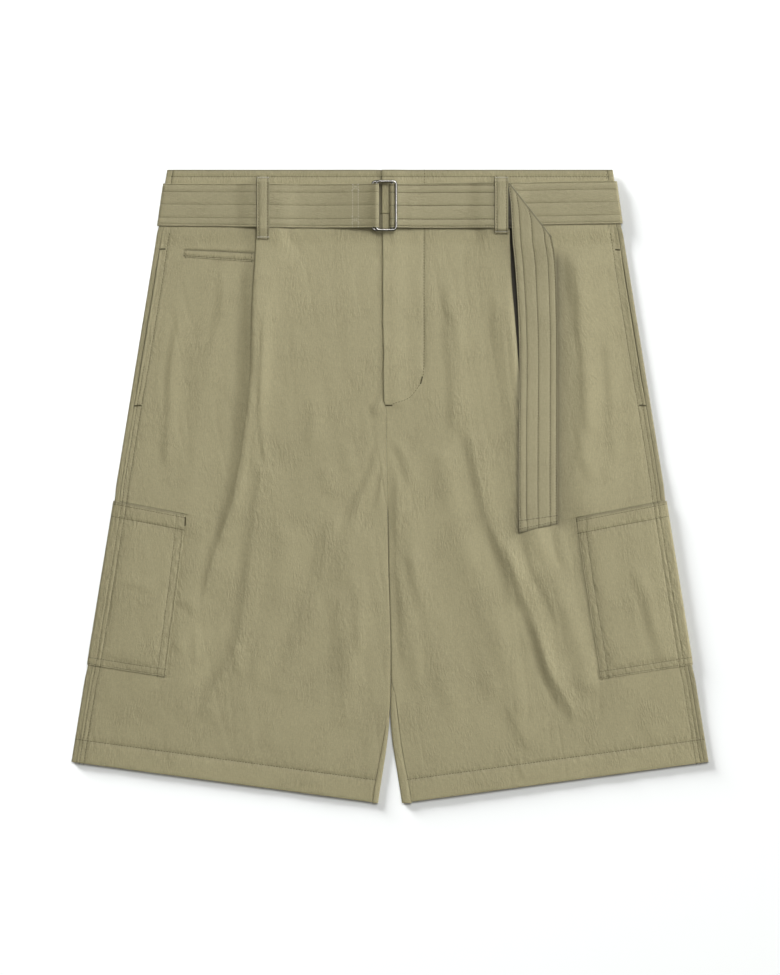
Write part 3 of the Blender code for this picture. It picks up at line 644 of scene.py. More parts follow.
class Wire:
    """An output socket. Arithmetic on it adds Math nodes."""

    def __init__(self, finish, socket):
        self.finish, self.socket = finish, socket

    def maths(self, operation, *values):
        return self.finish.add("ShaderNodeMath", 0, {"operation": operation}, dict(enumerate(values)))

    def __add__(self, other):
        return self.maths("ADD", self, other)

    __radd__ = __add__

    def __sub__(self, other):
        return self.maths("SUBTRACT", self, other)

    def __rsub__(self, other):
        return self.maths("SUBTRACT", other, self)

    def __mul__(self, other):
        return self.maths("MULTIPLY", self, other)

    __rmul__ = __mul__

    def __pow__(self, other):
        return self.maths("POWER", self, other)

    def __abs__(self):
        return self.maths("ABSOLUTE", self)

    def sine(self):
        return self.maths("SINE", self)

    def above(self, limit):
        return self.maths("MAXIMUM", self, limit)

    def below(self, limit):
        return self.maths("MINIMUM", self, limit)


class Finish:
    """A material under construction, with its Principled shader."""

    def __init__(self, name, **constants):
        self.material = bpy.data.materials.new(name)
        self.material.use_nodes = True
        self.tree = self.material.node_tree
        self.shader = self.tree.nodes["Principled BSDF"]
        for socket, value in constants.items():
            self.shader.inputs[socket.replace("_", " ")].default_value = value

    def add(self, kind, out=0, settings=None, sockets=None):
        """A node of that kind: its settings first, then values or links of its sockets."""
        node = self.tree.nodes.new(kind)
        for name, value in (settings or {}).items():
            setattr(node, name, value)
        for name, value in (sockets or {}).items():
            self.put(node.inputs[name], value)
        return Wire(self, node.outputs[out])

    def put(self, socket, value):
        if isinstance(value, Wire):
            self.tree.links.new(value.socket, socket)
        else:
            socket.default_value = value

    def blend(self, a, b, factor):
        """Mix of two colours."""
        settings = {"data_type": "RGBA"}
        return self.add("ShaderNodeMix", 2, settings, {0: factor, 6: a, 7: b})

    def noise(self, place, scale, detail=2.0, roughness=0.5):
        sockets = {"Vector": place, "Scale": scale, "Detail": detail, "Roughness": roughness}
        return self.add("ShaderNodeTexNoise", "Fac", {"noise_dimensions": "3D"}, sockets)

    def bump(self, height, distance, strength=1.0, under=None):
        sockets = {"Height": height, "Distance": distance, "Strength": strength}
        if under:
            sockets["Normal"] = under
        return self.add("ShaderNodeBump", "Normal", {}, sockets)

    def stretched(self, place, scale):
        settings = {"vector_type": "POINT"}
        return self.add("ShaderNodeMapping", 0, settings, {"Vector": place, "Scale": scale})


# %% [markdown]
# ## The cloth
#
# The real cloth is a fine plain weave with a crisp hand and a faint satin sheen. It holds small
# upright crinkles all over, and puckers where it is sewn or creased. The weave, the crinkles and
# the puckers are bump. The crinkles also darken the colour a little, which is painted shade in them.

# %% Cloth finish
THREAD_PITCH = 0.0006  # from one yarn of the weave to the next, in metres
# Painted shade: the near-black painted into cloth deep in a fold, under an edge or along a pulled seam.
PAINTED_SHADE_COLOUR = (0.022, 0.018, 0.010, 1)  # the cloth deep in a fold, under an edge or along a pulled seam


def woven(name, light, dark, roughness):
    finish = Finish(name, Specular_IOR_Level=0.28, Sheen_Weight=0.12, Sheen_Roughness=0.45)
    place = finish.add("ShaderNodeTexCoord", "UV")
    u = finish.add("ShaderNodeSeparateXYZ", "X", {}, {"Vector": place})
    v = finish.add("ShaderNodeSeparateXYZ", "Y", {}, {"Vector": place})
    seam = finish.add("ShaderNodeAttribute", "Fac", {"attribute_name": "seam"})
    painted_shade = finish.add("ShaderNodeAttribute", "Fac", {"attribute_name": "painted_shade"})

    yarn = 2 * math.pi / THREAD_PITCH
    weave = (u * yarn).sine() * (v * yarn).sine()
    slubs = finish.noise(finish.stretched(place, (1100, 210, 1)), 1.0, 1.0)
    tall = finish.noise(finish.stretched(place, (210, 62, 1)), 1.0, 3.0, 0.6)
    patches = (3.0 * finish.noise(place, 30.0, 2.0) - 1.2).above(0.15).below(0.8)
    crinkle = patches * (1 - abs(2 * tall - 1)) ** 5
    fine = finish.noise(finish.stretched(place, (900, 420, 1)), 1.0, 3.0)
    wefts = finish.noise(finish.stretched(place, (230, 1000, 1)), 1.0, 1.0)
    cloudy = finish.noise(place, 16.0, 4.0)
    pucker = finish.noise(finish.stretched(place, (330, 150, 1)), 1.0, 3.0)

    # The mix of the two tones: random tone from the yarns, less painted shade in the crinkles.
    shade = 0.56 + 0.45 * (cloudy - 0.5) + 0.9 * (slubs - 0.5) + 0.5 * (wefts - 0.5) - 0.35 * crinkle
    shade = shade + 0.5 * (fine - 0.5)
    # The seam value darkens it too: painted shade at steep creases, and darker beside the stitching.
    shade = (shade - 0.12 * seam).above(0.0).below(1.0)
    open_cloth = finish.blend((*dark, 1), (*light, 1), shade)
    # The painted shade value blends in the near-black: painted shade in folds, under edges and in grooves.
    colour = finish.blend(open_cloth, PAINTED_SHADE_COLOUR, painted_shade.above(0.0).below(1.0))
    finish.put(finish.shader.inputs["Base Color"], colour)
    finish.put(finish.shader.inputs["Roughness"], roughness + 0.10 * (slubs - 0.5) + 0.05 * crinkle)

    ground = finish.bump(weave, 0.00003, 0.6)
    ground = finish.bump(fine, 0.00022, 0.5, ground)
    ground = finish.bump(0 - crinkle, 0.00036, 0.8, ground)
    ground = finish.bump(pucker * seam, 0.0012, 0.9, ground)
    finish.put(finish.shader.inputs["Normal"], ground)
    return finish.material


shell_cloth = woven("khaki_cloth", (0.344, 0.312, 0.183), (0.252, 0.228, 0.132), 0.60)
belt_cloth = woven("khaki_belt_cloth", (0.308, 0.280, 0.166), (0.230, 0.208, 0.122), 0.58)
print("cloth finishes:", shell_cloth.name, belt_cloth.name)

# %% [markdown]
# ## Thread and steel
#
# Sewing thread is two plies twisted together, so it is mottled and a little rough. The rings are
# polished wire: nearly a mirror, with fine scratches along it. Their dark outlines are a painted dark
# reflection: the colour turns near-black where the wire turns away from the camera.

# %% Thread and steel finishes


def thread(name, colour):
    finish = Finish(name, Roughness=0.75, Specular_IOR_Level=0.15, Sheen_Weight=0.05)
    place = finish.add("ShaderNodeTexCoord", "Object")
    mottled = finish.noise(place, 700.0, 2.0)
    deep, pale = ((*(share * c for c in colour), 1) for share in (0.75, 1.25))
    finish.put(finish.shader.inputs["Base Color"], finish.blend(deep, pale, mottled))
    finish.put(finish.shader.inputs["Normal"], finish.bump(finish.noise(place, 2500.0), 0.00008))
    return finish.material


tonal_thread = thread("tonal_thread", (0.070, 0.060, 0.032))
pale_thread = thread("pale_thread", (0.50, 0.50, 0.46))


def polished(name):
    finish = Finish(name, Metallic=1.0)
    place = finish.add("ShaderNodeTexCoord", "Object")
    scratches = finish.noise(finish.stretched(place, (300, 4000, 4000)), 1.0, 3.0)
    smudge = finish.noise(place, 180.0, 2.0)
    # Painted dark reflection: the colour is blended to near-black where the wire turns away from the
    # camera.
    turned = finish.add("ShaderNodeLayerWeight", "Facing", {}, {"Blend": 0.5})
    bright, dull, dark = (0.58, 0.57, 0.53, 1), (0.42, 0.41, 0.38, 1), (0.012, 0.012, 0.010, 1)
    steel = finish.blend(dull, bright, smudge)
    colour = finish.blend(steel, dark, (7.0 * turned - 0.5).above(0.0).below(1.0))
    finish.put(finish.shader.inputs["Base Color"], colour)
    finish.put(finish.shader.inputs["Roughness"], 0.13 + 0.12 * scratches)
    finish.put(finish.shader.inputs["Normal"], finish.bump(scratches, 0.00002, 0.3))
    return finish.material


ring_steel = polished("ring_steel")

# %% [markdown]
# ## Front panels
#
# A front panel is one piece of cloth from the fly to the side seam. Its row of points goes out
# over the lap, up the raised pleat, back under it in a Z, and on to the side. Cutting the corners
# of the Z twice turns its sharp folds into soft ones.

# %% Columns of a front panel
SIDE_MARKS = (9.0, 7.8, 6.9, 6.0, 4.6, 3.7, 2.8, 1.9, 1.0, 0.0)
SIDE_LINES = (2.8, 6.9)  # the two rows of stitching beside the side seam
POCKET_MARKS = (0.0, 0.8, 1.5, 2.3, 4.6, 6.8, 7.6, 8.4)
FLY_MARKS = (0.0, 0.5, 1.0, 1.6, 2.2, 2.8, 3.3, 3.8, 4.3, 4.8, 5.3, 5.8, 6.3, 6.9, 7.6, 8.6)
FLY_STITCH = 31.3
STITCH_HALF = 0.9  # from a row of stitching to the rows of points beside it
POCKET_COLUMNS = 18
RAMP = 26  # columns in the rise onto the pleat

FrontLines = namedtuple("FrontLines", "centre side pocket edge depth layer puff")


def front_lines(leg, rows):
    """Where each row meets the panel's edges, its cargo pocket and its pleat."""
    edge = np.zeros(rows.shape)
    for _ in range(8):
        edge, *pleat = pleat_at(leg, y_on(rows, edge))
    return FrontLines(meet(rows, lambda y: front_edge(leg, y)),
                      meet(rows, lambda y: outline(y) - SEAM_IN - GAP / 2 - mouth_gape(y)),
                      meet(rows, lambda y: read(leg.pocket_front, y)), edge, *pleat)


def corner_cut(points):
    """Chaikin's rule: each corner of a line is cut off at a quarter of its sides."""
    out = [points[0]]
    for a, b in zip(points, points[1:]):
        for t in (0.25, 0.75):
            out.append(tuple(mix(p, q, t) for p, q in zip(a, b)))
    out[1:] = out[2:-1] + [points[-1]]
    return out


def pleat_fold(lines):
    """The pleat's Z, from its raised layers back to the cloth beyond: (distance out, rise)."""
    edge, depth, layer = lines.edge, lines.depth, lines.layer
    open_width = np.maximum(-depth, 0.0)
    third, slope = open_width / 3, layer / 3 * (1 - ease(0.5, 6.0, depth))
    zed = [
        (edge - np.maximum(depth, 5.0) - 2.5, 2 * layer), (edge - 2.2, 2 * layer), (edge, 2 * layer),
        (edge + third, layer + slope), (edge - depth - third, layer - slope),
        (edge - depth, 0 * edge), (edge + np.where(depth > 0, 4.5, open_width + 8.0), 0 * edge),
    ]
    return corner_cut(corner_cut(zed))


def front_columns(rows, lines):
    """Every column from the fly to the side seam: (distance out, rise over the lowest layer)."""
    centre, side, pocket = lines.centre, lines.side, lines.pocket
    pleat = pleat_fold(lines)
    raised, beyond = pleat[0][0], pleat[-1][0]
    settled = raised - mix(PLEAT_FADE, WAIST_FADE, ease(196, 232, y_on(rows, lines.edge)))
    first = [centre + near for near in FLY_MARKS]
    first += spread(centre + FLY_MARKS[-1], FLY_STITCH - STITCH_HALF, 10)
    first += [FLY_STITCH + 0 * centre, FLY_STITCH + STITCH_HALF + 0 * centre]
    first += spread(first[-1], settled, 14)
    rise = [(mix(settled, raised, k / RAMP), 2 * lines.layer * ease(0, 1, k / RAMP))
            for k in range(1, RAMP)]
    last = spread(beyond, pocket, 26) + [pocket + near for near in POCKET_MARKS[1:]]
    last += spread(pocket + POCKET_MARKS[-1], side - SIDE_MARKS[0], POCKET_COLUMNS)
    last += [side - near for near in SIDE_MARKS[1:]]
    return [(out, 0.0) for out in first] + rise + pleat + [(out, 0.0) for out in last]


def side_by_side(rows, columns):
    """Columns of (distance out, height) as two grids."""
    return (np.concatenate([np.broadcast_to(column[k], rows.shape) for column in columns], axis=1)
            for k in (0, 1))


# %% [markdown]
# The heights come next. The front lies over the back panel and the cargo pocket's wrap, rises onto
# the pleat's layers, and takes its creases wherever no seam holds it. The pleat's folded edge is
# a puffed crest with a low wall of cloth beside it, the left front laps the right one at the fly,
# and the hanging tail of the belt pushes up a swell of cloth at its right.

# %% Relief of a front panel
TAIL_EDGE = 153.4  # the right edge of the belt's hanging tail
TAIL_SWELL = 22.0  # the width of the swell beside it
LOWEST_CREASE = 1.15
IN_FLY = (FLY_END - 3, FLY_END + 6)


def front_freedom(leg, out, y):
    """1 where the cloth may crease, and 0 where a seam or the waistband holds it down."""
    from_side = ease(0, 18, outline(y) - SEAM_IN - out) * (1 - ease(*LIFT_ENDS, y))
    at_inseam = (1 - ease(-110, CROTCH, y)) * (1 - ease(0, 12, out - inner_edge(leg, y)))
    return from_side * (1 - at_inseam)


def pleat_puff(lines, inside, folded, free):
    """The crest of the folded edge, and the rise of the cloth beside it."""
    crest = ease(-4, 4, inside) * (1 - ease(4, 32, inside)) - 0.20 * groove(inside - 8.2, 1.6)
    wall = 1.15 * np.exp(-np.maximum(-inside, 0) / 4.0) - 0.2 * groove(inside + 12, 6.0)
    return lines.puff * (folded * crest + free * (1 - folded) * wall)


def at_leg_line(leg, y, from_centre, width, fade):
    """1 on the front's inner edge, from the crotch down to where the inseam shows."""
    return (1 - inseam_shows(leg, y)) * (1 - ease(*fade, y)) * (1 - ease(*width, from_centre))


def fly_relief(leg, out, y, lines):
    """The roll of the leg's inner edge, and the lap of the left front over the right one."""
    in_fly = ease(*IN_FLY, y)
    roll = at_leg_line(leg, y, out - lines.centre, (0, 2.2), (-75, 10)) ** 2
    if leg is RIGHT:
        pressed = groove(out - lap_at(y) - 0.15, 1.0) * in_fly * (1 - ease(*LIFT_ENDS, y))
        return -1.2 * pressed - 0.25 * roll
    lap = LAYER * (1 - ease(LAP_FLAT, LAP_FADE, out)) * ease(70, 79, y)
    return lap + 0.15 * groove(out + lap_at(y) - 1.5, 2.2) * in_fly - 0.7 * roll


def beside_tail(out):
    """How far out a place is from the hanging tail, in widths of the swell beside it."""
    return (out - TAIL_EDGE) / TAIL_SWELL


def tail_swell(out, y):
    beside, down = beside_tail(out), ease(-60, -10, y) * (1 - ease(200, 232, y))
    return 1.9 * ease(-0.25, 1.2, beside) * (1 - ease(1.1, 2.9, beside)) * down


def coin_mouth(out, rows):
    """1 along the coin pocket's mouth."""
    above_seam = (rows - COIN_ROW) * (MIDDLES[COIN_ROW] - MIDDLES[COIN_ROW + 1]) + 0.5
    return groove(above_seam, 0.9) * ease(124, 127, out) * (1 - ease(188, 190, out))


def front_seams(leg, out, y, rows, lines):
    """Where a front is sewn: closeness to a seam, for the pucker, and depth of the grooves."""
    hem = np.abs(np.interp(rows, np.arange(len(ROWS)), MIDDLES) - MIDDLES[ROW_OF["hem stitch"]])
    from_side = lines.side - out
    sewn = groove(hem) + sum(groove(from_side - line) for line in SIDE_LINES)
    close = np.exp(-hem / 5.0) + np.exp(-np.abs(from_side - 5.0) / 6.0)
    beside = (rows >= ROW_OF["cargo pocket mouth"]) & (rows <= ROW_OF["cargo pocket foot"])
    close = close + np.where(beside, np.exp(-np.abs(out - lines.pocket) / 5.0), 0)
    if leg is LEFT:
        fly = np.where(y > 108, np.abs(out - FLY_STITCH), 9.0)
        sewn, close = sewn + groove(fly), close + 0.6 * np.exp(-fly / 3.0)
    return np.clip(close, 0, 1), np.clip(sewn, 0, 1)


# %% [markdown]
# Little light reaches the stitched grooves, the pocket's mouth, the open end of the left pleat,
# the line between the legs and the cloth right beside the tail. The shallow shells can't shade
# those as the real layers do, so shade is painted into their colour there.

# %% Painted shade of a front panel, and both panels
TAIL_LEFT = 117.4


def above_cargo_mouth(out, rows, lines):
    """1 in the shade of the cargo pocket's mouth."""
    first, last = ROW_OF["cargo pocket mouth"], ROW_OF["below the crotch"]
    above = (first - rows) * (MIDDLES[last] - MIDDLES[first])
    return groove(above - 0.3, 0.7) * ease(0, 1.5, out - lines.pocket)


def left_painted_shade(out, y, lines, inside, folded):
    """Painted shade on the line between the legs, at the pleat's open end, and round the belt's tail."""
    painted_shade = 0.75 * at_leg_line(LEFT, y, out - lines.centre, (0.2, 1.5), (-26, -14))
    opening = (1 - ease(lines.depth + 0.5, lines.depth + 2.5, inside)) * (1 - ease(5, 8, -inside))
    in_pleat = ease(96, 124, y)
    painted_shade = painted_shade + (1 - folded) * opening * in_pleat
    under_tail = ease(-44, -30, y) * (1 - ease(206, 222, y)) * ease(-3.0, 0.0, out - TAIL_EDGE)
    shade = 0.22 * groove(out - TAIL_EDGE - 0.6, 1.6) + 0.38 * (1 - ease(-0.3, 0.95, beside_tail(out)))
    painted_shade = painted_shade + under_tail * shade
    return painted_shade + 0.5 * groove(out - TAIL_LEFT, 1.2) * ease(-46, -41, y) * (1 - in_pleat)


def front_panel(leg, creases):
    rows = FINE
    lines = front_lines(leg, rows)
    out, rise = side_by_side(rows, front_columns(rows, lines))
    y = y_on(rows, out)
    x = leg.side * out
    free = front_freedom(leg, out, y)
    inside = lines.edge - out
    folded = np.clip(rise / np.maximum(2 * lines.layer, 0.3), 0, 1)
    seam, sewn = front_seams(leg, out, y, rows, lines)
    z = back_lift(y) + fold_height(y) - CLOTH / 2 + pocket_lift(leg, out, y, rows) + rise
    z = z + free * relief(creases, x, y, LOWEST_CREASE) + pleat_puff(lines, inside, folded, free)
    at_side = ease(lines.side - 14, lines.side, out)
    z = z + fly_relief(leg, out, y, lines) + 1.4 * mouth_gape(y) * at_side
    z = z - STITCH_SINK * sewn
    # Painted shade in the stitched grooves and under the cargo pocket's mouth.
    painted_shade = 0.11 * sewn + 0.5 * above_cargo_mouth(out, rows, lines)
    if leg is LEFT:
        z = z + tail_swell(out, y)
        painted_shade = painted_shade + left_painted_shade(out, y, lines, inside, folded)
    else:
        at_mouth = coin_mouth(out, rows)
        # Painted shade along the coin pocket's mouth and in the strip seen through the rings.
        z, painted_shade = z - 0.9 * at_mouth, painted_shade + 0.3 * at_mouth + in_rings(x, y)
    # Closeness to a steep crease adds to the seam value, which puckers the cloth and paints shade into it.
    seam = np.clip(seam + free * crumple(creases, x, y), 0, 1)
    return Shell(f"front_{leg.name}", np.stack([x, y, z], -1), PANEL, -leg.side, seam, painted_shade)


fronts = [front_panel(RIGHT, RIGHT_CREASES), front_panel(LEFT, LEFT_CREASES)]
for shell in fronts:
    shell.make(shell_cloth)
    print(shell.name, "grid", shell.grid.shape[:2], "flat size", shell.flat_size())

# %% [markdown]
# ## Back panels
#
# A back panel rolls round the side to its seam on the front, lies flat on the floor, and rolls up
# again round the inseam. It is what the shorts rest on, so its creases go up, into the leg.

# %% Back panels
ARC_STEPS = 8
INSEAM_FLAT = 16.0  # this far from the inseam the back stays flat
POCKET_STEP = 9.0  # over this width the back steps down off the cargo pocket
POCKET_STEPS = 5
# Painted shade on the turn round the side: more on the left leg, whose turn faces the side lamp.
SIDE_SHADE = {"right": 0.05, "left": 0.24}  # nook of the turn at the side, darker away from the light


def back_panel(leg):
    rows = FINE
    outer = meet(rows, outline)
    inner = meet(rows, lambda y: inner_edge(leg, y))
    y = y_on(rows, outer)
    height = fold_height(y)
    lift = back_lift(y) + pocket_lift(leg, outer, y, rows)
    middle, radius = lift + height / 2, (height - CLOTH) / 2
    turn = outer - height / 2
    columns = [(outer - SEAM_IN + GAP / 2 + near, middle + radius) for near in (0.0, 0.7)]
    columns.append((turn, middle + radius))
    for k in range(1, ARC_STEPS):
        angle = math.radians(90 - 180 * k / ARC_STEPS)
        columns.append((turn + radius * math.cos(angle), middle + radius * math.sin(angle)))
    columns.append((turn, middle - radius))
    pocket_edge = outer - leg.pocket_back
    flat = spread(turn, pocket_edge + POCKET_MARKS[-1], 20)
    flat += [pocket_edge + near for near in POCKET_MARKS[-2::-1]]
    patch_end = len(columns) + len(flat)
    flat += spread(pocket_edge, pocket_edge - POCKET_STEP, POCKET_STEPS)
    flat += spread(pocket_edge - POCKET_STEP, inner + INSEAM_FLAT, 36)
    for out in flat:
        over = LAYER * pocket_rows(rows) * ease(pocket_edge - POCKET_STEP, pocket_edge - 1, out)
        columns.append((out, back_lift(y_on(rows, out)) + over + CLOTH / 2))
    curl = len(columns)
    columns += inseam_curl(leg, inner, y_on(rows, inner), columns[-1][1], rows)

    out, z = side_by_side(rows, columns)
    y = y_on(rows, out)
    y[:, curl:] = y_on(rows, inner)
    x = leg.side * out
    column = np.arange(out.shape[1])
    under = ((column >= patch_end + POCKET_STEPS) & (column < curl)) * 1.0
    free = under * ease(0, 20, out - inner - INSEAM_FLAT) * (1 - ease(*LIFT_ENDS, y))
    free = free * ease(0, 25, pocket_edge - out)
    z = z + free * np.clip(relief(BACK_CREASES, x, y, 0.2), 0, 0.6)
    hem = np.abs(np.interp(rows, np.arange(len(ROWS)), MIDDLES) - MIDDLES[ROW_OF["hem stitch"]])
    z = z + STITCH_SINK * under * groove(hem)
    seam = np.clip(np.exp(-hem / 5.0) + 0 * out, 0, 1)
    # Painted shade on the turn round the side.
    painted_shade = SIDE_SHADE[leg.name] * (column < ARC_STEPS + 4) + 0 * out
    shell = Shell(f"back_{leg.name}", np.stack([x, y, z], -1), PANEL, -leg.side, seam, painted_shade)
    shell.patch_end = patch_end
    shell.floor_columns = (ARC_STEPS + 3, curl)
    return shell


def inseam_curl(leg, inner, y, z, rows):
    """The back's inner edge curls up and over the inseam onto the front."""
    turn = np.maximum(math.pi * inseam_turn(rows), 1e-3)
    height = mix(2.1, FOLD_HEIGHT, inseam_shows(leg, y))
    length = math.pi * (height - CLOTH) / 2
    flap = read(leg.inseam_in, y) - GAP / 2 - height / 2
    radius = length / turn
    shallow = inner + (radius + CLOTH / 2) * np.sin(turn) + flap * np.cos(turn)
    start = np.where(turn < math.pi / 2, shallow, inner + CLOTH / 2 + radius)
    points = []
    for k in range(ARC_STEPS + 1):
        angle = turn * k / ARC_STEPS
        points.append((start - radius * np.sin(angle), z + radius * (1 - np.cos(angle))))
    out, top = points[-1]
    for share in (0.5, 1.0):
        points.append((out - share * flap * np.cos(turn), top + share * flap * np.sin(turn)))
    return points


backs = [back_panel(leg) for leg in LEGS]
for shell in backs:
    shell.make(shell_cloth)
    print(shell.name, "grid", shell.grid.shape[:2], "flat size", shell.flat_size())

# %% [markdown]
# ## Cargo pockets and the coin welt
#
# A pocket is a patch that lies on the panel, so it is made from the panel's own points, moved
# out. It wraps round the side seam. Its sewn edges lie close to the panel and its middle stands
# off a little, and the turned hem along its mouth is a second layer of cloth.

# %% Cargo pockets
CARGO_ROWS = (ROW_OF["cargo pocket mouth"], ROW_OF["cargo pocket foot"])
CARGO_LENGTH = 147.0  # from the mouth to the foot
CARGO_LINES = (1.5, 7.6)  # rows of stitching beside the front edge, and the first beside the back
FOOT_LINES = (1.4, 6.8)
EDGE_APART = 0.9  # from the panel's middle to the patch's where it is sewn down


def row_span(first, last):
    """Which of the fine rows lie between two places in the table of rows."""
    return (FINE[:, 0] >= first - 1e-6) & (FINE[:, 0] <= last + 1e-6)


def cargo_pocket(leg, front, back):
    span = row_span(*CARGO_ROWS)
    on_front = len(POCKET_MARKS) - 1 + POCKET_COLUMNS + len(SIDE_MARKS) - 1
    middle, normals = (
        np.concatenate([of_front[span, -on_front - 1:], of_back[span, 2:back.patch_end]], axis=1)
        for of_front, of_back in ((front.grid, back.grid), (front.normals, back.normals)))
    steps = np.linalg.norm(np.diff(middle, axis=1), axis=2)
    across = np.concatenate([np.zeros((len(steps), 1)), np.cumsum(steps, axis=1)], axis=1)
    from_back, from_seam = across[:, -1:] - across, across - across[:, on_front:on_front + 1]
    rows = FINE[span]
    down, up = (rows - CARGO_ROWS[0]) * CARGO_LENGTH, (CARGO_ROWS[1] - rows) * CARGO_LENGTH
    lines = [np.abs(across - line) for line in CARGO_LINES] + [np.abs(from_back - CARGO_LINES[0])]
    lines += [np.abs(up - line) for line in FOOT_LINES] + [np.abs(rows - BAND_ROW) * CARGO_LENGTH]
    lines += [np.abs(from_seam + near) for near in (0.0, *SIDE_LINES)]
    sewn = np.clip(sum(groove(line) for line in lines), 0, 1)
    close = np.clip(sum(np.exp(-line / 4.0) for line in lines), 0, 1)

    double = 1 - ease(BAND_ROW - 0.003, BAND_ROW + 0.003, rows)
    thickness = PATCH + 0.25 * double
    inside = np.minimum(np.minimum(across, from_back), up)
    in_front = np.arange(middle.shape[1]) <= on_front
    apart = mix(EDGE_APART, LAYER, ease(0, 10, inside)) + 0.22 * double
    apart = apart - 0.2 * sewn * np.where(in_front, 1, 0.5)
    above_floor = 1.2 - 0.5 * (thickness - PATCH) - 0.12 * sewn
    apart = np.where(in_front, apart, np.minimum(apart, above_floor))
    # Painted shade along the stitching and along the pocket's mouth.
    painted_shade = 0.05 * sewn + 0.35 * groove(down, 0.8)
    grid = middle + normals * apart[..., None]
    shell = Shell(f"cargo_{leg.name}", grid, thickness, -leg.side, close, painted_shade)
    shell.seam_column = on_front
    return shell


cargos = [cargo_pocket(leg, *pair) for leg, *pair in zip(LEGS, fronts, backs)]
for shell in cargos:
    shell.make(shell_cloth)
    print(shell.name, "grid", shell.grid.shape[:2], "flat size", shell.flat_size())

# %% [markdown]
# The coin welt is a narrow strip on the right front. Its lower edge and its ends are sewn down,
# and its upper edge is the pocket's mouth, which stands open by about the thickness of a coin.

# %% Coin welt
WELT = ((-188.9, 217.6), (-125.9, 214.6), (-126.0, 206.8), (-189.3, 211.0))
WELT_GRID = (12, 60)
WELT_HEIGHT = 7.0
WELT_LINE = 0.86  # its stitching, as a share of the way down
WELT_CLOTH = 0.6
DROP_FROM = 60.0  # above every piece


def surface_tree(*shells):
    """A search tree of both faces of some shells, to drop points onto."""
    points, faces, start = [], [], 0
    for shell in shells:
        rows, columns = shell.grid.shape[:2]
        for face in (shell.outer(), shell.grid - shell.normals * shell.thickness / 2):
            points.append(face.reshape(-1, 3))
            faces.append(quads_of(rows, columns) + start)
            start += rows * columns
    return BVHTree.FromPolygons(np.concatenate(points).tolist(), np.concatenate(faces).tolist())


def dropped(tree, places):
    """Each (x, y) dropped onto the cloth from above: points and the cloth's normals there."""
    points, ups = [], []
    for x, y in places:
        hit, normal, _, _ = tree.ray_cast(Vector((x, y, DROP_FROM)), Vector((0, 0, -1)))
        if hit is None:
            continue
        points.append(tuple(hit))
        ups.append(tuple(normal if normal.z > 0 else -normal))
    return np.array(points), np.array(ups)


def patch_on(tree, corners, rows, columns):
    """A grid between four corners, dropped onto the cloth."""
    a, b, c, d = (np.array(corner) for corner in corners)
    places = [mix(mix(a, b, u / columns), mix(d, c, u / columns), v / rows)
              for v in range(rows + 1) for u in range(columns + 1)]
    points, ups = dropped(tree, places)
    shape = (rows + 1, columns + 1, 3)
    return points.reshape(shape), ups.reshape(shape)


def welt():
    """The strip, with its mouth pulled up off the panel."""
    rows, columns = WELT_GRID
    points, ups = patch_on(surface_tree(fronts[0]), WELT, rows, columns)
    mouth_steps = np.array([2, 1])[:, None, None]
    points[:2] = points[2] + (points[2] - points[3]) * mouth_steps
    ups[:2] = ups[2]
    down = np.linspace(0, 1, rows + 1)[:, None]
    from_line = (down - WELT_LINE) * WELT_HEIGHT
    stand = 0.45 + 0.5 * (1 - ease(0.0, 0.4, down)) - 0.12 * groove(from_line, 0.7)
    sewn = groove(from_line, 2) + np.zeros((rows + 1, columns + 1))
    # Painted shade along the open mouth, and a little along the stitching.
    painted_shade = 0.85 * groove(down * WELT_HEIGHT, 0.45) + 0.04 * sewn
    return Shell("coin_welt", points + ups * stand[..., None], WELT_CLOTH, -1, sewn, painted_shade)


coin_welt = welt().make(shell_cloth)
print("coin_welt grid", coin_welt.grid.shape[:2], "flat size", coin_welt.flat_size())

# %% [markdown]
# ## Waistband
#
# The band is doubled cloth round the top edge, in two fronts and one back. The left front laps
# over the right one at the fly. A row of stitching follows the top edge.

# %% Waistband
BAND_ROWS = (0.0, 0.7, 1.6, 3.2, 5.6, 6.5, 7.4, 10.0, 14.0, 20.0, 27.0, 34.0, 39.0, 40.35)
BAND_STITCH = 6.5  # below the top edge
BAND_SEAM = SEAM_IN + 0.9
BAND_TURN = (BAND_CLOTH + GAP) / 2
BAND_MIDDLE = FRONT_BAND - BAND_TURN
BAND_OUTER = BAND_TURN + BAND_CLOTH / 2
LAP_HIGH = FRONT_BAND + LAP_STEP


def band(name, columns, flip):
    """A stretch of the band: columns are (x as a function of y, z)."""
    y = (TOP - np.array(BAND_ROWS))[:, None]
    x = np.concatenate([column(y) + 0 * y for column, _ in columns], axis=1)
    z = np.array([height for _, height in columns])[None, :] + 0 * y
    y = y + 0 * x
    wave = 0.10 * hills(x, y, 30, 60, 21) + 0.05 * hills(x, y, 8, 40, 22)
    sewn = groove(TOP - y - BAND_STITCH)
    flat = np.where(z > FRONT_BAND - 0.2, 1, 0)
    z = z + flat * (wave - 0.16 * sewn)
    # Painted shade along the top edge and the stitching.
    painted_shade = flat * (0.7 * groove(TOP - y, 0.9) + 0.06 * sewn)
    if name == "waistband_front_right":
        z = z - 1.5 * groove(-x - lap_at(y) - 0.6, 2.0)
        # Painted shade in the strip seen through the rings.
        painted_shade = painted_shade + in_rings(x, y)
    seam = np.clip(np.exp(-np.abs(TOP - y - BAND_STITCH) / 3), 0, 1)
    return Shell(name, np.stack([x, y, z], -1), BAND_CLOTH - 0.15, flip, seam, painted_shade)


def at(x):
    return lambda y: x + 0 * y


def between(start, end, count):
    """Columns evenly spaced from one (x function, z) to another, z easing."""
    (a, za), (b, zb) = start, end
    made = []
    for k in range(count + 1):
        t = k / count
        made.append((lambda y, t=t: mix(a(y), b(y), t), mix(za, zb, float(ease(0, 1, t)))))
    return made


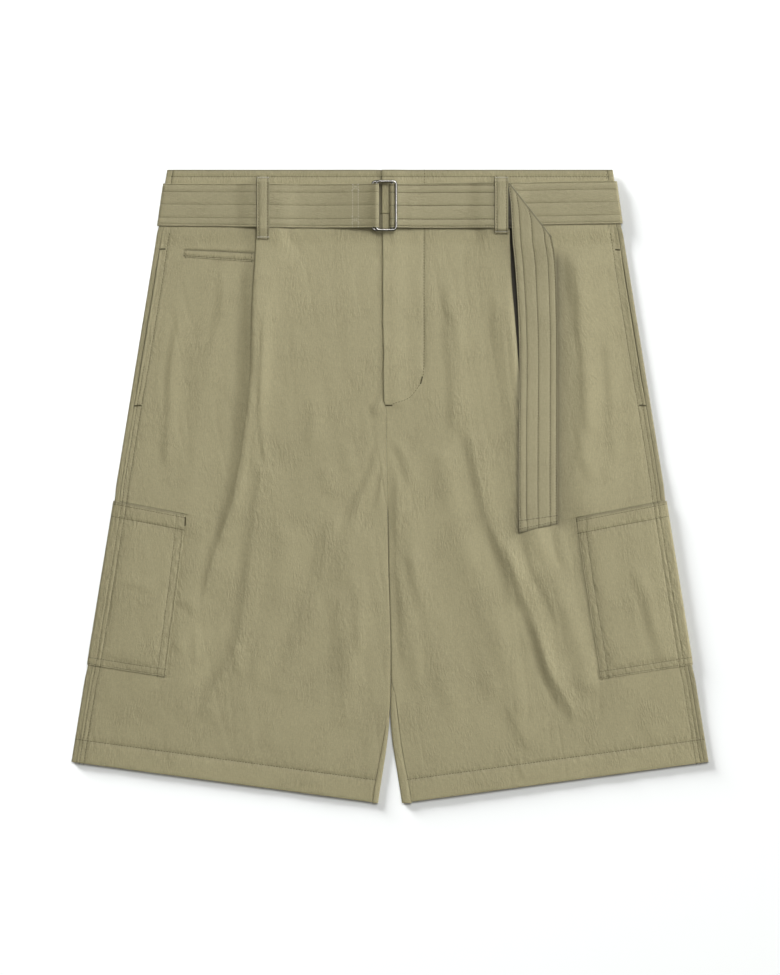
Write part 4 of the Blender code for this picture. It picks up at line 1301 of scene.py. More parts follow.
def right_side(shift):
    return lambda y: -outline(y) + shift


def left_side(shift):
    return lambda y: outline(y) - shift


def band_turn(side):
    """The band's roll round a side, from the front to the back."""
    made = []
    for k in range(ARC_STEPS + 1):
        angle = math.radians(90 - 180 * k / ARC_STEPS)
        out, up = BAND_TURN * math.cos(angle), BAND_TURN * math.sin(angle)
        made.append((lambda y, o=out: side * (outline(y) - BAND_OUTER + o), BAND_MIDDLE + up))
    return made


front_ends = [(side(BAND_SEAM + GAP / 2), FRONT_BAND) for side in (right_side, left_side)]
back_ends = [(side(BAND_SEAM - GAP / 2), FRONT_BAND) for side in (right_side, left_side)]
lap, lap_flat, lap_fade = ((at(x), z) for x, z in (
    (LAP_EDGE[0], LAP_HIGH), (LAP_FLAT, LAP_HIGH), (LAP_FADE, FRONT_BAND)))
left_turn, right_turn = band_turn(1), band_turn(-1)[::-1]
band_columns = {
    "right": between(front_ends[0], (at(LAP_UNDER), FRONT_BAND), 90),
    "left": [*between(lap, lap_flat, 6), *between(lap_flat, lap_fade, 8)[1:],
             *between(lap_fade, front_ends[1], 80)[1:]],
    "back": [*between(back_ends[1], left_turn[0], 3)[:-1], *left_turn,
             *between(left_turn[-1], right_turn[0], 120)[1:-1], *right_turn,
             *between(right_turn[-1], back_ends[0], 3)[1:]],
}
band_right = band("waistband_front_right", band_columns["right"], -1)
band_left = band("waistband_front_left", band_columns["left"], -1)
band_back = band("waistband_back", band_columns["back"], 1)
bands = [band_right, band_left, band_back]
for shell in bands:
    shell.make(shell_cloth)
    print(shell.name, "grid", shell.grid.shape[:2], "flat size", shell.flat_size())

# %% [markdown]
# ## The belt
#
# The belt is doubled cloth with five rows of stitching along it. One strip makes it all: its end
# is stitched round both rings, it runs round the waist, doubles back through the rings, and turns
# down on a diagonal fold. It is worked out as stations, each with an upper and a lower edge point.

# %% Sizes of the belt
Edges = namedtuple("Edges", "top low")
AT_SIDES = 38.9  # the belt's height in the picture where it turns round the sides
BELT_FOLD = Edges(278.1, 278.1 - BELT_WIDTH)
BELT_RIGHT_SIDE = Edges(278.7, 278.7 - AT_SIDES)
BELT_LEFT_SIDE = Edges(280.8, 280.8 - AT_SIDES)
BELT_BACK = Edges(279.0, 279.0 - BELT_WIDTH)
BELT_HALF = Edges(208.9, 214.4)
PLEAT_BUMP = 2.3
RING_SPAN = 18.2
RING_Y = (235.8, 280.4)
RING_CORNER = 2.8
RING_RIGHT_UPPER = 5.6
RING_RIGHT_LOWER = 2.2
FOLD_RISE = CLOTH / 2 + GAP + 0.1 + WIRE / 2
LAP_BELT = FRONT_BELT + LAP_STEP
RING_LOW_Z = LAP_BELT + FOLD_RISE
RING_UP_Z = RING_LOW_Z + WIRE + GAP
OVER_PLEAT = FRONT_BELT + PLEAT_BUMP
PLEAT_TOP_EDGE = {-1: PLEATS[0].right_edge, 1: PLEATS[0].left_edge}

TAIL_FOLD = ((109.2, 278.3), (148.1, 228.6))
TAIL_TURN = LAYER / 2
Tail = namedtuple("Tail", "y left right z")
TAIL = (
    Tail(225.0, 112.6, 149.3, 10.9),
    Tail(208.0, 114.3, 152.1, 9.8),
    Tail(180.0, 116.4, 153.4, 8.9),
    Tail(145.0, 118.2, 154.1, 8.4),
    Tail(110.0, 118.9, 154.2, 7.8),
    Tail(70.0, 118.3, 154.2, 6.9),
    Tail(25.0, 118.0, 154.1, 6.2),
    Tail(-12.0, 118.0, 154.1, 5.8),
    Tail(-39.0, 118.7, 154.0, 5.6),
)
TAIL_TILT = 2.2  # its right edge lies lower, off the pleat
TAIL_END = (-43.0, -34.5)  # y of the slanted end, at its left and right corners
FOLD_STEPS = 7
TAIL_STEPS = 8  # stations from one row of the table to the next
TAIL_ROWS = FOLD_STEPS + 1 + (len(TAIL) + 1) * TAIL_STEPS + 1  # from the diagonal fold to the end

# %% [markdown]
# Round the waist the belt is a plain strip. It rises over the fly's lap and the pleats, and turns
# round each side in a half circle.

# %% Belt round the waist


def belt_bump(x):
    """Height of the belt's under layer above its lowest place, along the front."""
    total = LAP_STEP * ease(-30, -16, x) * (1 - ease(15, 30, x))
    for side, edge in PLEAT_TOP_EDGE.items():
        out = side * x
        beyond = ease(edge + 3, edge + 20, out)
        total = total + PLEAT_BUMP * ease(edge - 40, edge - 22, out) * (1 - beyond)
    return total


def straight(x, top, low, z):
    """Stations upright at x: arrays of upper and lower edge points."""
    x, top, low, z = np.broadcast_arrays(x, top, low, z)
    return np.stack([np.stack([x, top, z], -1), np.stack([x, low, z], -1)], 1)


def stretch(start, end, first, last, rise=0.0, pitch=2.5):
    """A front stretch, its edges eased from one pair of heights to another."""
    x = np.linspace(start, end, max(int(abs(end - start) / pitch), 2) + 1)
    t = (x - start) / (end - start)
    ripple = 0.10 * hills(x, 0 * x + rise, 24, 9, 31)
    return straight(x, mix(first.top, last.top, t) + 0.25 * hills(x, 0 * x, 60, 9, 32),
                    mix(first.low, last.low, t) + 0.25 * hills(x, 0 * x, 50, 9, 33),
                    FRONT_BELT + belt_bump(x) + rise + ripple)


def arc(x, z, radius, start, end, steps):
    angles = np.radians(np.linspace(start, end, steps + 1))
    return np.stack([x + radius * np.cos(angles), z + radius * np.sin(angles)], -1)


def on_bars(points):
    points = np.array(points)
    return straight(points[:, 0], BELT_FOLD.top, BELT_FOLD.low, points[:, 1])


def belt_side(side, edges, front_first):
    radius = (FRONT_BELT - BACK_BELT) / 2
    middle = FRONT_BELT - radius
    ring = arc(0, 0, radius, 90, -90, 10)
    if not front_first:
        ring = ring[::-1]
    made = []
    for out, z in ring:
        top, low = (np.array([side * (half - radius - CLOTH / 2 + out), y, middle + z])
                    for half, y in zip(BELT_HALF, edges))
        made.append(np.stack([top, low]))
    return np.array(made)


# %% [markdown]
# At the rings the belt is a line of (x, z) points with the belt's whole width behind each. The end
# wraps the rings' left bars. The return wraps the lower ring's right bar from below, and then dips
# under the upper ring's, which is what holds it.

# %% Belt at the rings


def stitched_end():
    """The end that is folded round the rings' left bars and sewn down on the belt."""
    left_bar = RING_RIGHT_UPPER - RING_SPAN
    fold_x, corner, over = left_bar + FOLD_RISE, 1.6, RING_UP_Z + FOLD_RISE
    under = smooth_line([(-36.8, FRONT_BELT), (-28.0, FRONT_BELT + 0.1), (-19.0, LAP_BELT - 0.1),
                         (fold_x - corner, LAP_BELT)], 3)
    back = smooth_line([(fold_x - corner, over), (fold_x - corner - 1.6, over - 0.2),
                        (-19.5, LAP_BELT + 3.5), (-28.0, FRONT_BELT + 3.3),
                        (-36.8, FRONT_BELT + 2.4), (-46.0, FRONT_BELT + 1.3), (-56.0, FRONT_BELT + 0.3)], 4)
    return np.concatenate([
        under[:-1], arc(fold_x - corner, LAP_BELT + corner, corner, -90, 0, 5),
        arc(fold_x - corner, over - corner, corner, 0, 90, 5), back[1:],
    ])


UNDER_BAR = 285  # degrees round the upper bar at which the belt leaves it


def turn_at_rings():
    """Round the lower ring's right bar and under the upper ring's."""
    low_bar, up_bar = (RING_RIGHT_LOWER, RING_LOW_Z), (RING_RIGHT_UPPER, RING_UP_Z)
    across = math.degrees(math.atan2(up_bar[1] - low_bar[1], up_bar[0] - low_bar[0]))
    leave = math.radians(UNDER_BAR)
    last = (up_bar[0] + FOLD_RISE * math.cos(leave), up_bar[1] + FOLD_RISE * math.sin(leave))
    out = smooth_line([last, (10.5, LAP_BELT + LAYER + 0.7), (15.0, LAP_BELT + LAYER)], 3)
    return np.concatenate([
        arc(*low_bar, FOLD_RISE, 270, across, 16),
        arc(*up_bar, FOLD_RISE, across + 180, UNDER_BAR, 6)[1:-1], out,
    ])


# %% [markdown]
# The tail turns over on the diagonal fold and rests on the left front, whose creases it follows
# loosely: each of its corners lies as high as the highest cloth under it.

# %% Hanging tail of the belt
LEFT_FRONT = surface_tree(fronts[1])


def belt_tail(z):
    """Past the loop the belt folds over itself on the diagonal and hangs down the front."""
    upper, lower = (np.array([*end, z]) for end in TAIL_FOLD)
    across = np.array([upper[1] - lower[1], lower[0] - upper[0], 0])
    across = across / np.linalg.norm(across)
    made = [np.array([[105.0, BELT_FOLD.top, z], [108.0, BELT_FOLD.low, z]])]
    for turn in np.radians(np.linspace(0, 180, FOLD_STEPS)):
        rise = np.array([0, 0, TAIL_TURN * (1 - math.cos(turn))])
        shift = across * TAIL_TURN * math.sin(turn) + rise
        made.append(np.stack([upper + shift, lower + shift]))
    made.append(np.stack([upper + shift, lower + shift]) - 0.9 * across)
    top_z = z + LAYER
    starts = [(110.6, 262.0, 148.8, 227.2), (111.6, 244.0, 149.2, 226.2)]
    key = [((a, b, top_z), (c, d, top_z)) for a, b, c, d in starts]
    for k, row in enumerate(TAIL):
        left_y, right_y = TAIL_END if k == len(TAIL) - 1 else (row.y, row.y)
        sunk = 1 - ease(165, 226, row.y)
        low = max(row.z - TAIL_TILT * sunk, resting_height(row.right - 6, row.right, right_y))
        high = max(row.z - 0.6 * sunk, resting_height(row.left, row.right - 12, left_y))
        key.append(((row.left, left_y, high), (row.right, right_y, low)))
    sides = [smooth_line([pair[side] for pair in key], TAIL_STEPS) for side in (0, 1)]
    made += list(np.stack(sides, 1))
    return np.array(made)


def resting_height(start, end, y):
    """Height at which the tail clears the left front between two places."""
    hits, _ = dropped(LEFT_FRONT, [(x, y) for x in np.linspace(start, end, 9)])
    return hits[:, 2].max() + CLOTH / 2 + 0.15


# %% [markdown]
# The stations become the shell. Columns of points are set close at each row of stitching, which
# draws the cloth in, and shade is painted along the tail's edges, a little darker.

# %% Belt from its stations


def belt_stations():
    under = Edges(BELT_FOLD.top + 0.5, BELT_FOLD.low + 0.5)
    back = np.linspace(-207, 207, 140)[1:-1]
    return np.concatenate([
        on_bars(stitched_end()),
        stretch(-60.0, -206.0, BELT_FOLD, BELT_RIGHT_SIDE),
        belt_side(-1, BELT_RIGHT_SIDE, True),
        straight(back[3:-3], BELT_BACK.top, BELT_BACK.low, BACK_BELT),
        belt_side(1, BELT_LEFT_SIDE, False),
        stretch(205.0, 6.0, BELT_LEFT_SIDE, under),
        on_bars(turn_at_rings()),
        stretch(18.0, 101.0, BELT_FOLD, BELT_FOLD, LAYER),
        belt_tail(OVER_PLEAT + LAYER),
    ])


BELT_LINES = (0.036, 0.2, 0.495, 0.805, 0.962)  # rows of stitching, as shares of the width
BESIDE_LINE = 0.022
SHARES = sorted({0.0, 0.014, 0.985, 1.0, 0.1, 0.13, 0.27, 0.34, 0.42, 0.57, 0.65, 0.73, 0.87, 0.91,
                 *(round(line + d, 4) for line in BELT_LINES for d in (-BESIDE_LINE, 0, BESIDE_LINE))})


def belt_shell():
    stations = belt_stations()
    share = np.array(SHARES)
    grid = mix(stations[:, :1], stations[:, 1:], share[None, :, None])
    in_line = sum(groove((share - line) * BELT_WIDTH, 0.8) for line in BELT_LINES)
    sewn = np.clip(in_line, 0, 1)[None, :]
    # Painted shade along the stitching, then along the tail's edges, its end and its diagonal fold.
    painted_shade = 0.05 * sewn + np.zeros(grid.shape[:2])
    on_tail = slice(len(grid) - TAIL_ROWS, None)
    painted_shade[on_tail] += 0.45 * np.maximum(groove(share * BELT_WIDTH, 0.5),
                                       groove((1 - share) * BELT_WIDTH, 0.5))
    painted_shade[-1] += 0.45
    painted_shade[on_tail][:FOLD_STEPS] = 0.55
    # Painted shade, near-black, in the gap between the loop and the tail.
    painted_shade[-TAIL_ROWS - 1] = 1.0  # in the gap between the loop and the tail
    seam = np.clip(0.75 * in_line, 0, 1)[None, :]
    return Shell("belt", grid, 0.95 - 0.28 * sewn, 1, seam, painted_shade)


belt = belt_shell()
belt.make(belt_cloth)
print("belt grid", belt.grid.shape[:2], "flat size", belt.flat_size())

# %% [markdown]
# ## Belt loops
#
# A loop is a short folded strip, sewn down at both ends over the belt. It is a little crowned
# across, because its edges are turned in underneath.

# %% Loops
Loop = namedtuple("Loop", "name x half top low belt_z end_z")
LOOPS_FRONT = (
    Loop("loop_front_right", -116.7, 5.8, 285.2, 227.7, OVER_PLEAT, 7.9),
    Loop("loop_front_left", 102.4, 6.3, 285.2, 232.6, OVER_PLEAT + LAYER, 8.6),
)
LOOPS_BACK = (("loop_back_right", -102.0), ("loop_back_middle", -3.6), ("loop_back_left", 102.0))
BACK_LOOP_HALF = 6.0
LOOP_LINES = (0.16, 0.84)
LOOP_SHARES = np.array([0, 0.06, 0.10, 0.16, 0.22, 0.35, 0.5, 0.65, 0.78, 0.84, 0.90, 0.94, 1.0])


def strap(name, x, half, path, flip):
    """A loop from its path of (y, z) points."""
    path = smooth_line(path, 5)
    across = (x + (LOOP_SHARES - 0.5) * 2 * half)[None, :]
    crown = 0.16 * (1 - (2 * LOOP_SHARES - 1) ** 2)[None, :]
    y, z = path[:, 0:1] + 0 * across, path[:, 1:2] + crown
    grid = np.stack([across + 0 * y, y, z], -1)
    sewn = sum(groove((LOOP_SHARES - line) * 2 * half, 0.7) for line in LOOP_LINES)
    sewn = np.clip(sewn, 0, 1)[None, :]
    # Painted shade along the loop's edges and its stitching.
    edges = groove(LOOP_SHARES * 2 * half, 0.5) + groove((1 - LOOP_SHARES) * 2 * half, 0.5)
    return Shell(name, grid, 0.85 - 0.25 * sewn, flip, 0.7 * sewn, 0.5 * edges[None, :] + 0.05 * sewn)


def front_loop(loop):
    over = loop.belt_z + CLOTH / 2 + GAP + CLOTH / 2
    start = FRONT_BAND + BAND_CLOTH / 2 + GAP + CLOTH / 2
    low_edge = BELT_FOLD.low
    path = (
        (loop.top, start), (282.4, start + 0.3), (280.0, over - 0.15), (277.2, over),
        (258.0, over + 0.1), (low_edge + 2.6, over), (low_edge - 1.4, over - 0.1),
        (mix(low_edge, loop.low, 0.65), mix(over, loop.end_z, 0.75)), (loop.low, loop.end_z),
    )
    return strap(loop.name, loop.x, loop.half, path, -1)


def back_loop(name, x):
    floor, top = CLOTH / 2 + 0.32, BACK_LIFT - GAP - CLOTH / 2
    path = (
        (285.2, top), (281.2, top), (279.4, floor + 0.1), (276.5, floor), (258.0, floor),
        (241.0, floor), (237.4, floor + 0.1), (236.0, floor + 0.5), (233.2, floor + 0.6),
    )
    return strap(name, x, BACK_LOOP_HALF, path, 1)


loops = [front_loop(loop) for loop in LOOPS_FRONT] + [back_loop(name, x) for name, x in LOOPS_BACK]
for shell in loops:
    shell.make(belt_cloth)
print("loops:", [shell.name for shell in loops])

# %% [markdown]
# ## The rings
#
# Each ring is round wire bent into a rectangle with rounded corners. A ring of points is swept
# round the bent line, so the wire stays round in the corners.

# %% Rings
WIRE_SIDES = 16
CORNER_STEPS = 8
BAR_STEPS = 10


def bent_line(right, z):
    """Once round a ring: (point, direction away from the ring's inside)."""
    left, (low, high), r = right - RING_SPAN, RING_Y, RING_CORNER
    corners = ((right - r, high - r, 0), (left + r, high - r, 90),
               (left + r, low + r, 180), (right - r, low + r, 270))
    line = []
    for x, y, start in corners:
        for k in range(CORNER_STEPS + 1):
            turn = math.radians(start + 90 * k / CORNER_STEPS)
            out = np.array([math.cos(turn), math.sin(turn), 0])
            line.append((np.array([x, y, z]) + out * r, out))
    filled = []
    for (a, out_a), (b, out_b) in zip(line, line[1:] + line[:1]):
        steps = 1 if np.linalg.norm(b - a) < 2 else BAR_STEPS
        filled += [(mix(a, b, k / steps), mix(out_a, out_b, k / steps)) for k in range(steps)]
    return filled


def wire_ring(name, right, z):
    line = bent_line(right, z)
    turns = 2 * math.pi * np.arange(WIRE_SIDES) / WIRE_SIDES
    up = np.array([0, 0, 1])
    points = np.array([[c + WIRE / 2 * (out * math.cos(a) + up * math.sin(a)) for a in turns]
                       for c, out in line])
    index = np.arange(len(line) * WIRE_SIDES).reshape(len(line), WIRE_SIDES)
    after, beside = np.roll(index, -1, axis=0), np.roll(index, -1, axis=1)
    faces = np.stack([after, np.roll(after, -1, axis=1), beside, index], -1).reshape(-1, 4)
    mesh = bpy.data.meshes.new(f"{name}_wire")
    mesh.from_pydata(points.reshape(-1, 3) * MM, [], faces.tolist())
    mesh.materials.append(ring_steel)
    mesh.shade_smooth()
    piece = bpy.data.objects.new(mesh.name, mesh)
    bpy.context.scene.collection.objects.link(piece)
    return piece


rings = [wire_ring("ring_upper", RING_RIGHT_UPPER, RING_UP_Z),
         wire_ring("ring_lower", RING_RIGHT_LOWER, RING_LOW_Z)]
print("rings:", [ring.name for ring in rings])

# %% [markdown]
# ## Stitching
#
# A row of stitching repeats one small shape along a line, so Geometry Nodes sews it. Each line is
# a run of points on the cloth that knows which way is up off the cloth there. The tree evens out
# the points to one a stitch, lays a small rounded thread on each, and makes them real.

# %% Stitching tree


def stitching_tree():
    tree = bpy.data.node_groups.new("stitching", "GeometryNodeTree")
    interface = tree.interface
    interface.new_socket("Lines", in_out="INPUT", socket_type="NodeSocketGeometry")
    for name, default in (("Pitch", 0.0026), ("Length", 0.0021), ("Thickness", 0.00052),
                          ("Height", 0.0003), ("Turn", 0.0)):
        socket = interface.new_socket(name, in_out="INPUT", socket_type="NodeSocketFloat")
        socket.default_value = default
    interface.new_socket("Thread", in_out="INPUT", socket_type="NodeSocketMaterial")
    interface.new_socket("Stitches", in_out="OUTPUT", socket_type="NodeSocketGeometry")

    def add(kind, settings=None, links=None):
        node = tree.nodes.new(kind)
        for name, value in (settings or {}).items():
            setattr(node, name, value)
        for name, value in (links or {}).items():
            if isinstance(value, bpy.types.NodeSocket):
                tree.links.new(value, node.inputs[name])
            else:
                node.inputs[name].default_value = value
        return node

    given = add("NodeGroupInput").outputs
    curve = add("GeometryNodeMeshToCurve", links={"Mesh": given["Lines"]})
    even = add("GeometryNodeResampleCurve", {"mode": "LENGTH"},
               {"Curve": curve.outputs[0], "Length": given["Pitch"]})
    up = add("GeometryNodeInputNamedAttribute", {"data_type": "FLOAT_VECTOR"}, {"Name": "up"})
    tangent = add("GeometryNodeInputTangent")
    stand = add("FunctionNodeAlignRotationToVector", {"axis": "Z"}, {"Vector": up.outputs["Attribute"]})
    point = add("FunctionNodeAlignRotationToVector", {"axis": "X", "pivot_axis": "Z"},
                {"Rotation": stand.outputs[0], "Vector": tangent.outputs[0]})
    loose = add("FunctionNodeRandomValue", {"data_type": "FLOAT"}, {2: -0.05, 3: 0.05, "Seed": 7})
    total = add("ShaderNodeMath", {"operation": "ADD"}, {0: loose.outputs[1], 1: given["Turn"]})
    spin = add("ShaderNodeCombineXYZ", None, {"Z": total.outputs[0]})
    turn = add("FunctionNodeEulerToRotation", None, {0: spin.outputs[0]})
    rotation = add("FunctionNodeRotateRotation", {"rotation_space": "LOCAL"},
                   {0: point.outputs[0], 1: turn.outputs[0]})
    size = add("ShaderNodeCombineXYZ", None,
               {"X": given["Length"], "Y": given["Thickness"], "Z": given["Height"]})
    bead = add("GeometryNodeMeshUVSphere", None, {"Segments": 8, "Rings": 4, "Radius": 0.5})
    sown = add("GeometryNodeInstanceOnPoints", None,
               {"Points": even.outputs[0], "Instance": bead.outputs[0], "Rotation": rotation.outputs[0],
                "Scale": size.outputs[0]})
    real = add("GeometryNodeRealizeInstances", None, {"Geometry": sown.outputs[0]})
    smooth = add("GeometryNodeSetShadeSmooth", None, {"Geometry": real.outputs[0]})
    coloured = add("GeometryNodeSetMaterial", None,
                   {"Geometry": smooth.outputs[0], "Material": given["Thread"]})
    tree.links.new(coloured.outputs[0], add("NodeGroupOutput").inputs["Stitches"])
    return tree


STITCHING = stitching_tree()
SOCKETS = {item.name: item.identifier for item in STITCHING.interface.items_tree
           if item.in_out == "INPUT"}
LOWEST_THREAD = (-np.inf, -np.inf, 0.17)  # millimetres: no thread goes below the floor


def sew(name, lines, material, **sizes):
    """One piece of stitching from lines of (points, ups), its sizes in millimetres."""
    points, ups, edges, start = [], [], [], 0
    for line, normals in lines:
        if len(line) < 2:
            continue
        points.append(np.maximum(line, LOWEST_THREAD))
        ups.append(normals)
        edges += [(start + k, start + k + 1) for k in range(len(line) - 1)]
        start += len(line)
    mesh = bpy.data.meshes.new(name)
    mesh.from_pydata(np.concatenate(points) * MM, edges, [])
    up = mesh.attributes.new("up", "FLOAT_VECTOR", "POINT")
    up.data.foreach_set("vector", np.concatenate(ups).ravel())
    piece = bpy.data.objects.new(name, mesh)
    bpy.context.scene.collection.objects.link(piece)
    modifier = piece.modifiers.new("stitching", "NODES")
    modifier.node_group = STITCHING
    modifier[SOCKETS["Thread"]] = material
    for size, value in sizes.items():
        modifier[SOCKETS[size]] = value if size == "Turn" else value * MM
    evaluated = piece.evaluated_get(bpy.context.evaluated_depsgraph_get())
    sewn = bpy.data.meshes.new_from_object(evaluated)
    piece.modifiers.remove(modifier)
    piece.data = sewn
    sewn.name = name
    print(name, len(sewn.polygons), "faces")
    return piece


# %% [markdown]
# ## Where the stitching runs
#
# Hems, side seams and pockets are sewn along rows and columns of the grids, and the fly, the
# pocket mouths and the coin welt along lines dropped onto the cloth.

# %% Lines of stitching
THREAD_LIFT = 0.03
ALL = slice(0, None)
FROM_SIDE = [len(SIDE_MARKS) - 1 - SIDE_MARKS.index(line) for line in SIDE_LINES]  # in columns


def along_row(shell, index, start=0, end=None):
    part = slice(start, end)
    return shell.outer(THREAD_LIFT)[index, part], shell.normals[index, part]


def along_column(shell, column, span=ALL):
    return shell.outer(THREAD_LIFT)[span, column], shell.normals[span, column]


def nearest(values, value):
    return int(np.abs(values - value).argmin())


def on_cloth(tree, points, step=1.5, lift=THREAD_LIFT):
    """A smooth line of (x, y) points dropped onto the cloth."""
    line = smooth_line(points, 12) if len(points) > 2 else np.array(points, float)
    length = np.concatenate([[0], np.cumsum(np.linalg.norm(np.diff(line, axis=0), axis=1))])
    places = np.linspace(0, length[-1], max(int(length[-1] / step), 2) + 1)
    flat = np.stack([np.interp(places, length, line[:, k]) for k in (0, 1)], -1)
    hits, ups = dropped(tree, flat)
    return hits + ups * lift, ups


def panel_lines(front, back):
    """The hem, and the two rows beside the side seam."""
    hem = nearest(FINE[:, 0], ROW_OF["hem stitch"])
    inner, outer = (front.grid.shape[1] - 1 - columns for columns in FROM_SIDE[::-1])
    above_pocket = row_span(1.2, CARGO_ROWS[0] - 0.02)
    below_slit = row_span(ROW_OF["above the fly's end"] + 1.0, CARGO_ROWS[0] - 0.02)
    below_pocket = row_span(CARGO_ROWS[1] + 0.01, len(ROWS) - 1)
    return [
        along_row(front, hem), along_row(back, hem, 0, ARC_STEPS + 4),
        along_row(back, hem, *back.floor_columns), along_column(front, inner, above_pocket),
        along_column(front, outer, below_pocket), along_column(front, inner, below_pocket),
        along_column(front, outer, below_slit),
    ]


def cargo_lines(cargo):
    """The turned hem of the pocket's mouth, its foot, its edges and the side seam."""
    rows = FINE[row_span(*CARGO_ROWS), 0]
    band = nearest(rows, BAND_ROW)
    last = cargo.grid.shape[1] - 1
    edges = [POCKET_MARKS.index(line) for line in CARGO_LINES]
    lines = [along_row(cargo, band), along_row(cargo, 1)]
    lines += [along_row(cargo, nearest(rows, foot), 1) for foot in FOOT_ROWS]
    lines += [along_column(cargo, column, slice(band, None)) for column in edges]
    lines += [along_column(cargo, last - column) for column in edges]
    return lines + [along_column(cargo, cargo.seam_column - columns) for columns in FROM_SIDE]


left_front = surface_tree(fronts[1], band_left)
right_welt = surface_tree(fronts[0], coin_welt)
left_band = surface_tree(band_left)
leg_lines = {leg.name: panel_lines(front, back) + cargo_lines(cargo)
             for leg, front, back, cargo in zip(LEGS, fronts, backs, cargos)}
leg_lines["left"] += [on_cloth(left_front, line) for line in (
    [(FLY_STITCH, 240.0), (FLY_STITCH, 180.0), (FLY_STITCH, 120.0), (30.6, 103.0)],
    [(28.2, 95.0), (23.0, 87.5), (16.6, 81.0), (3.3, 76.1)],
)]
leg_lines["right"] += [on_cloth(right_welt, line) for line in (
    [(-189.0, 212.3), (-126.3, 208.3)], [(-187.6, 217.0), (-188.0, 211.0)],
    [(-127.2, 214.2), (-127.3, 207.6)],
)]
waist_lines = [along_row(shell, BAND_ROWS.index(BAND_STITCH)) for shell in bands]
waist_lines += [on_cloth(left_band, line) for line in (
    [(31.8, 290.6), (31.8, 252.0)], [(198.7, 290.0), (199.8, 280.6)],
)]

# %% [markdown]
# The belt's rows run along its shares. From the middle of the diagonal fold on, the tail shows its
# other face, so the rows change sides there. Two more rows cross the tail near its end.

# %% Stitching of the belt, and the sewing
belt_lines = []
inner_face = belt.grid - belt.normals * (belt.thickness / 2 + THREAD_LIFT)
turned = len(belt.grid) - TAIL_ROWS + FOLD_STEPS // 2  # from here the tail shows its other face
for line in BELT_LINES:
    column = SHARES.index(line)
    end = -1 if line in (BELT_LINES[0], BELT_LINES[-1]) else -3
    belt_lines.append(along_column(belt, column, slice(0, turned)))
    belt_lines.append((inner_face[turned:end, column], -belt.normals[turned:end, column]))
for row in (-2, -4):
    belt_lines.append((inner_face[row, 1:-1], -belt.normals[row, 1:-1]))
for shell in loops:
    belt_lines += [along_column(shell, nearest(LOOP_SHARES, line)) for line in LOOP_LINES]

stitches = [sew(f"stitching_{name}", lines, tonal_thread) for name, lines in leg_lines.items()]
stitches.append(sew("stitching_waistband", waist_lines, tonal_thread))
stitches.append(sew("stitching_belt", belt_lines, tonal_thread))

# %% [markdown]
# Bartacks are short bars of close zigzag where a seam is pulled: the ends of the pocket mouths,
# the fly and the loops. They are the same tree with the stitch turned across the line.

# %% Bartacks
BARTACK = {"Pitch": 0.45, "Length": 1.7, "Thickness": 0.5, "Height": 0.4, "Turn": math.pi / 2}
all_fronts = surface_tree(*fronts)
tacks = [
    on_cloth(all_fronts, line, 0.8, 0.1) for line in (
        [(-212.0, 218.4), (-206.8, 218.6)], [(-235.8, 74.2), (-229.2, 74.6)],
        [(207.4, 218.0), (213.2, 217.6)], [(229.6, 74.8), (236.2, 74.4)],
        [(-4.0, 74.6), (2.0, 74.6)], [(29.8, 101.0), (28.2, 94.6)],
        [(-188.2, -28.0), (-188.4, -36.0)], [(172.0, -29.6), (174.0, -38.0)],
    )
]
bars = sew("bartacks", tacks, tonal_thread, **BARTACK)
loop_tree = surface_tree(*loops)
LOOP_TACK = {**BARTACK, "Thickness": 0.35, "Pitch": 0.8, "Length": 1.3}
loop_tacks = []
for loop in LOOPS_FRONT:
    left, right = loop.x - loop.half + 0.8, loop.x + loop.half - 0.8
    for y in (loop.top - 1.2, loop.low + 1.6):
        loop_tacks.append(on_cloth(loop_tree, [(left, y), (right, y)], 0.8, 0.08))
loop_bars = sew("bartacks_loops", loop_tacks, pale_thread, **LOOP_TACK)

belt_top = surface_tree(belt)
BELT_END = {"Pitch": 2.3, "Length": 1.2, "Thickness": 0.45, "Height": 0.4}
end_lines = [on_cloth(belt_top, [(x, 277.4), (x, 238.6)], 1.0) for x in (-34.3, -29.2)]
for high, low in ((278.2, 271.8), (247.9, 242.3)):  # a cross at each end of the two rows
    end_lines.append(on_cloth(belt_top, [(-35.0, high), (-28.6, low)], 0.8))
    end_lines.append(on_cloth(belt_top, [(-28.6, high), (-35.0, low)], 0.8))
belt_end = sew("stitching_belt_end", end_lines, pale_thread, **BELT_END)

# %% [markdown]
# ## Handing the pieces to the frame
#
# Each shell stands for the solid of the same name and lies still with the only body. The size
# each piece of cloth was cut to is measured down the middle of its wall and printed.

# %% Ride, replace, and sizes of the cloth
for shell in [*fronts, *backs, *cargos, coin_welt, *bands]:
    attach(shell.piece, "root")
    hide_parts(shell.name)
for shell in [belt, *loops]:
    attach(shell.piece, "root")
    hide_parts(shell.name)
for ring, node in zip(rings, ("ring_upper", "ring_lower")):
    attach(ring, "root")
    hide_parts(node)
for piece in [*stitches, bars]:
    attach(piece, "root")
for piece in (loop_bars, belt_end):
    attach(piece, "root")

for shell in [*fronts, *backs, *cargos, coin_welt, *bands, belt, *loops]:
    flat, area = shell.flat_size()
    held = "laid"
    if shell.name == "belt":  # its rows lean at the fold, so the width comes from its area
        flat, held = (area / flat[1], flat[1]), "folded"
    print(f"{shell.name}: {flat[0] * 1000:.0f} x {flat[1] * 1000:.0f} mm, {area * 1e4:.0f} cm2")

# %% [markdown]
# ## Floor, light and camera
#
# The shorts lie on a plain white floor, which is stage and not part of the garment.

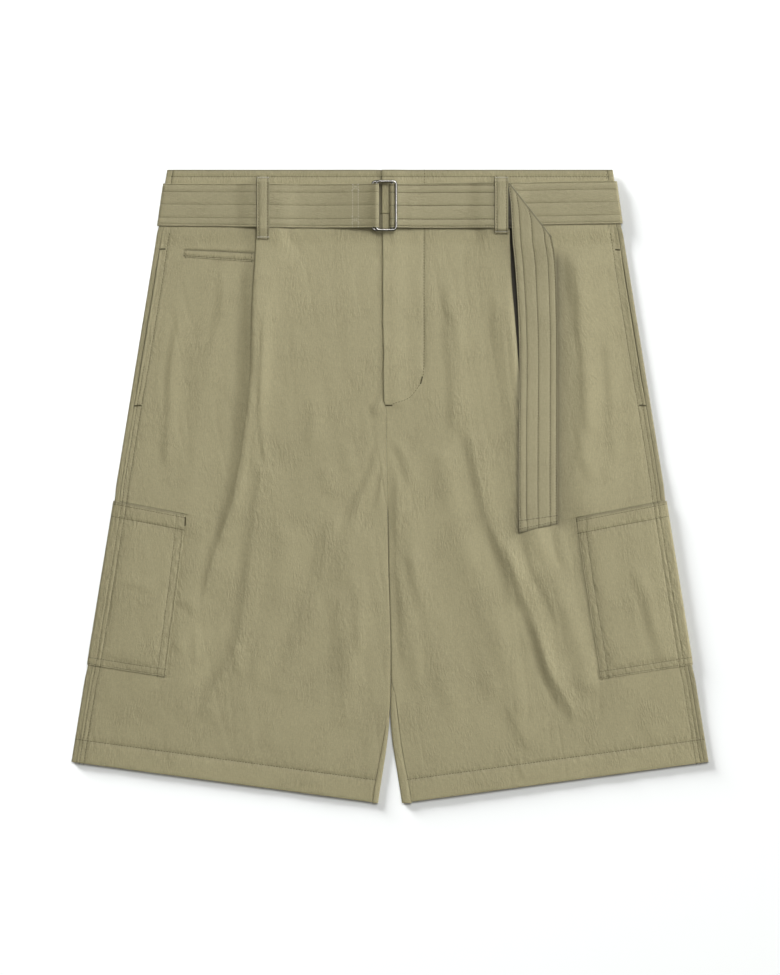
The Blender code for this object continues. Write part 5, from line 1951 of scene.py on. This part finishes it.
# %% Floor
floor_finish = Finish("floor", Roughness=0.9, Specular_IOR_Level=0.1, Base_Color=(0.955, 0.98, 0.99, 1))
floor_mesh = bpy.data.meshes.new("floor")
floor_mesh.from_pydata([(-6, -6, 0), (6, -6, 0), (6, 6, 0), (-6, 6, 0)], [], [(0, 1, 2, 3)])
floor_mesh.materials.append(floor_finish.material)
floor = bpy.data.objects.new("floor", floor_mesh)
bpy.context.scene.collection.objects.link(floor)

# %% [markdown]
# Two soft lights hang above the waist. A low one on the right draws the creases, on the garment
# alone, and a low one at the upper left throws the soft shadow, on the floor alone. The camera
# looks straight down through a long lens.

# %% Lights and camera


def aimed(name, data, place, target):
    lamp = bpy.data.objects.new(name, data)
    lamp.location = place
    lamp.rotation_mode = "QUATERNION"
    lamp.rotation_quaternion = (Vector(target) - Vector(place)).to_track_quat("-Z", "Y")
    bpy.context.scene.collection.objects.link(lamp)
    return lamp


def softbox(name, place, target, size, power):
    data = bpy.data.lights.new(name, "AREA")
    data.shape, data.size, data.energy = "SQUARE", size, power
    return aimed(name, data, place, target)


def only(lamp, name, pieces):
    """A lamp that lights nothing but some pieces."""
    chosen = bpy.data.collections.new(name)
    for piece in pieces:
        chosen.objects.link(piece)
    lamp.light_linking.receiver_collection = chosen


softbox("main", (1.2, 2.5, 4.1), (0, 0, 0), 2.0, 84)
softbox("waist", (0.2, 0.75, 2.0), (0, 0.15, 0), 1.2, 8)
side = softbox("side", (4.5, 0.9, 1.35), (0, 0, 0), 1.5, 168)
low = softbox("low_left", (-6.2, 6.2, 1.6), (0, 0, 0), 3.4, 2450)
only(side, "cloth and rings", [o for o in bpy.context.scene.objects if o.type == "MESH" and o != floor])
only(low, "floor only", [floor])

world = bpy.data.worlds.new("studio")
world.use_nodes = True
world.node_tree.nodes["Background"].inputs["Color"].default_value = (1.0, 0.96, 0.86, 1)
world.node_tree.nodes["Background"].inputs["Strength"].default_value = 0.21
bpy.context.scene.world = world
bpy.context.scene.view_settings.view_transform = "Standard"

PIXEL = 0.00092  # metres on the floor for one pixel of the photograph
FRAME_HEIGHT = 975 * PIXEL
DISTANCE = 4.0
camera_data = bpy.data.cameras.new("camera")
camera_data.sensor_width = 36.0
camera_data.lens = camera_data.sensor_width * DISTANCE / FRAME_HEIGHT
camera_data.clip_start, camera_data.clip_end = 0.1, 20.0
camera = bpy.data.objects.new("camera", camera_data)
camera.location = (0, -PIXEL, DISTANCE + 0.004)
bpy.context.scene.collection.objects.link(camera)
bpy.context.scene.camera = camera
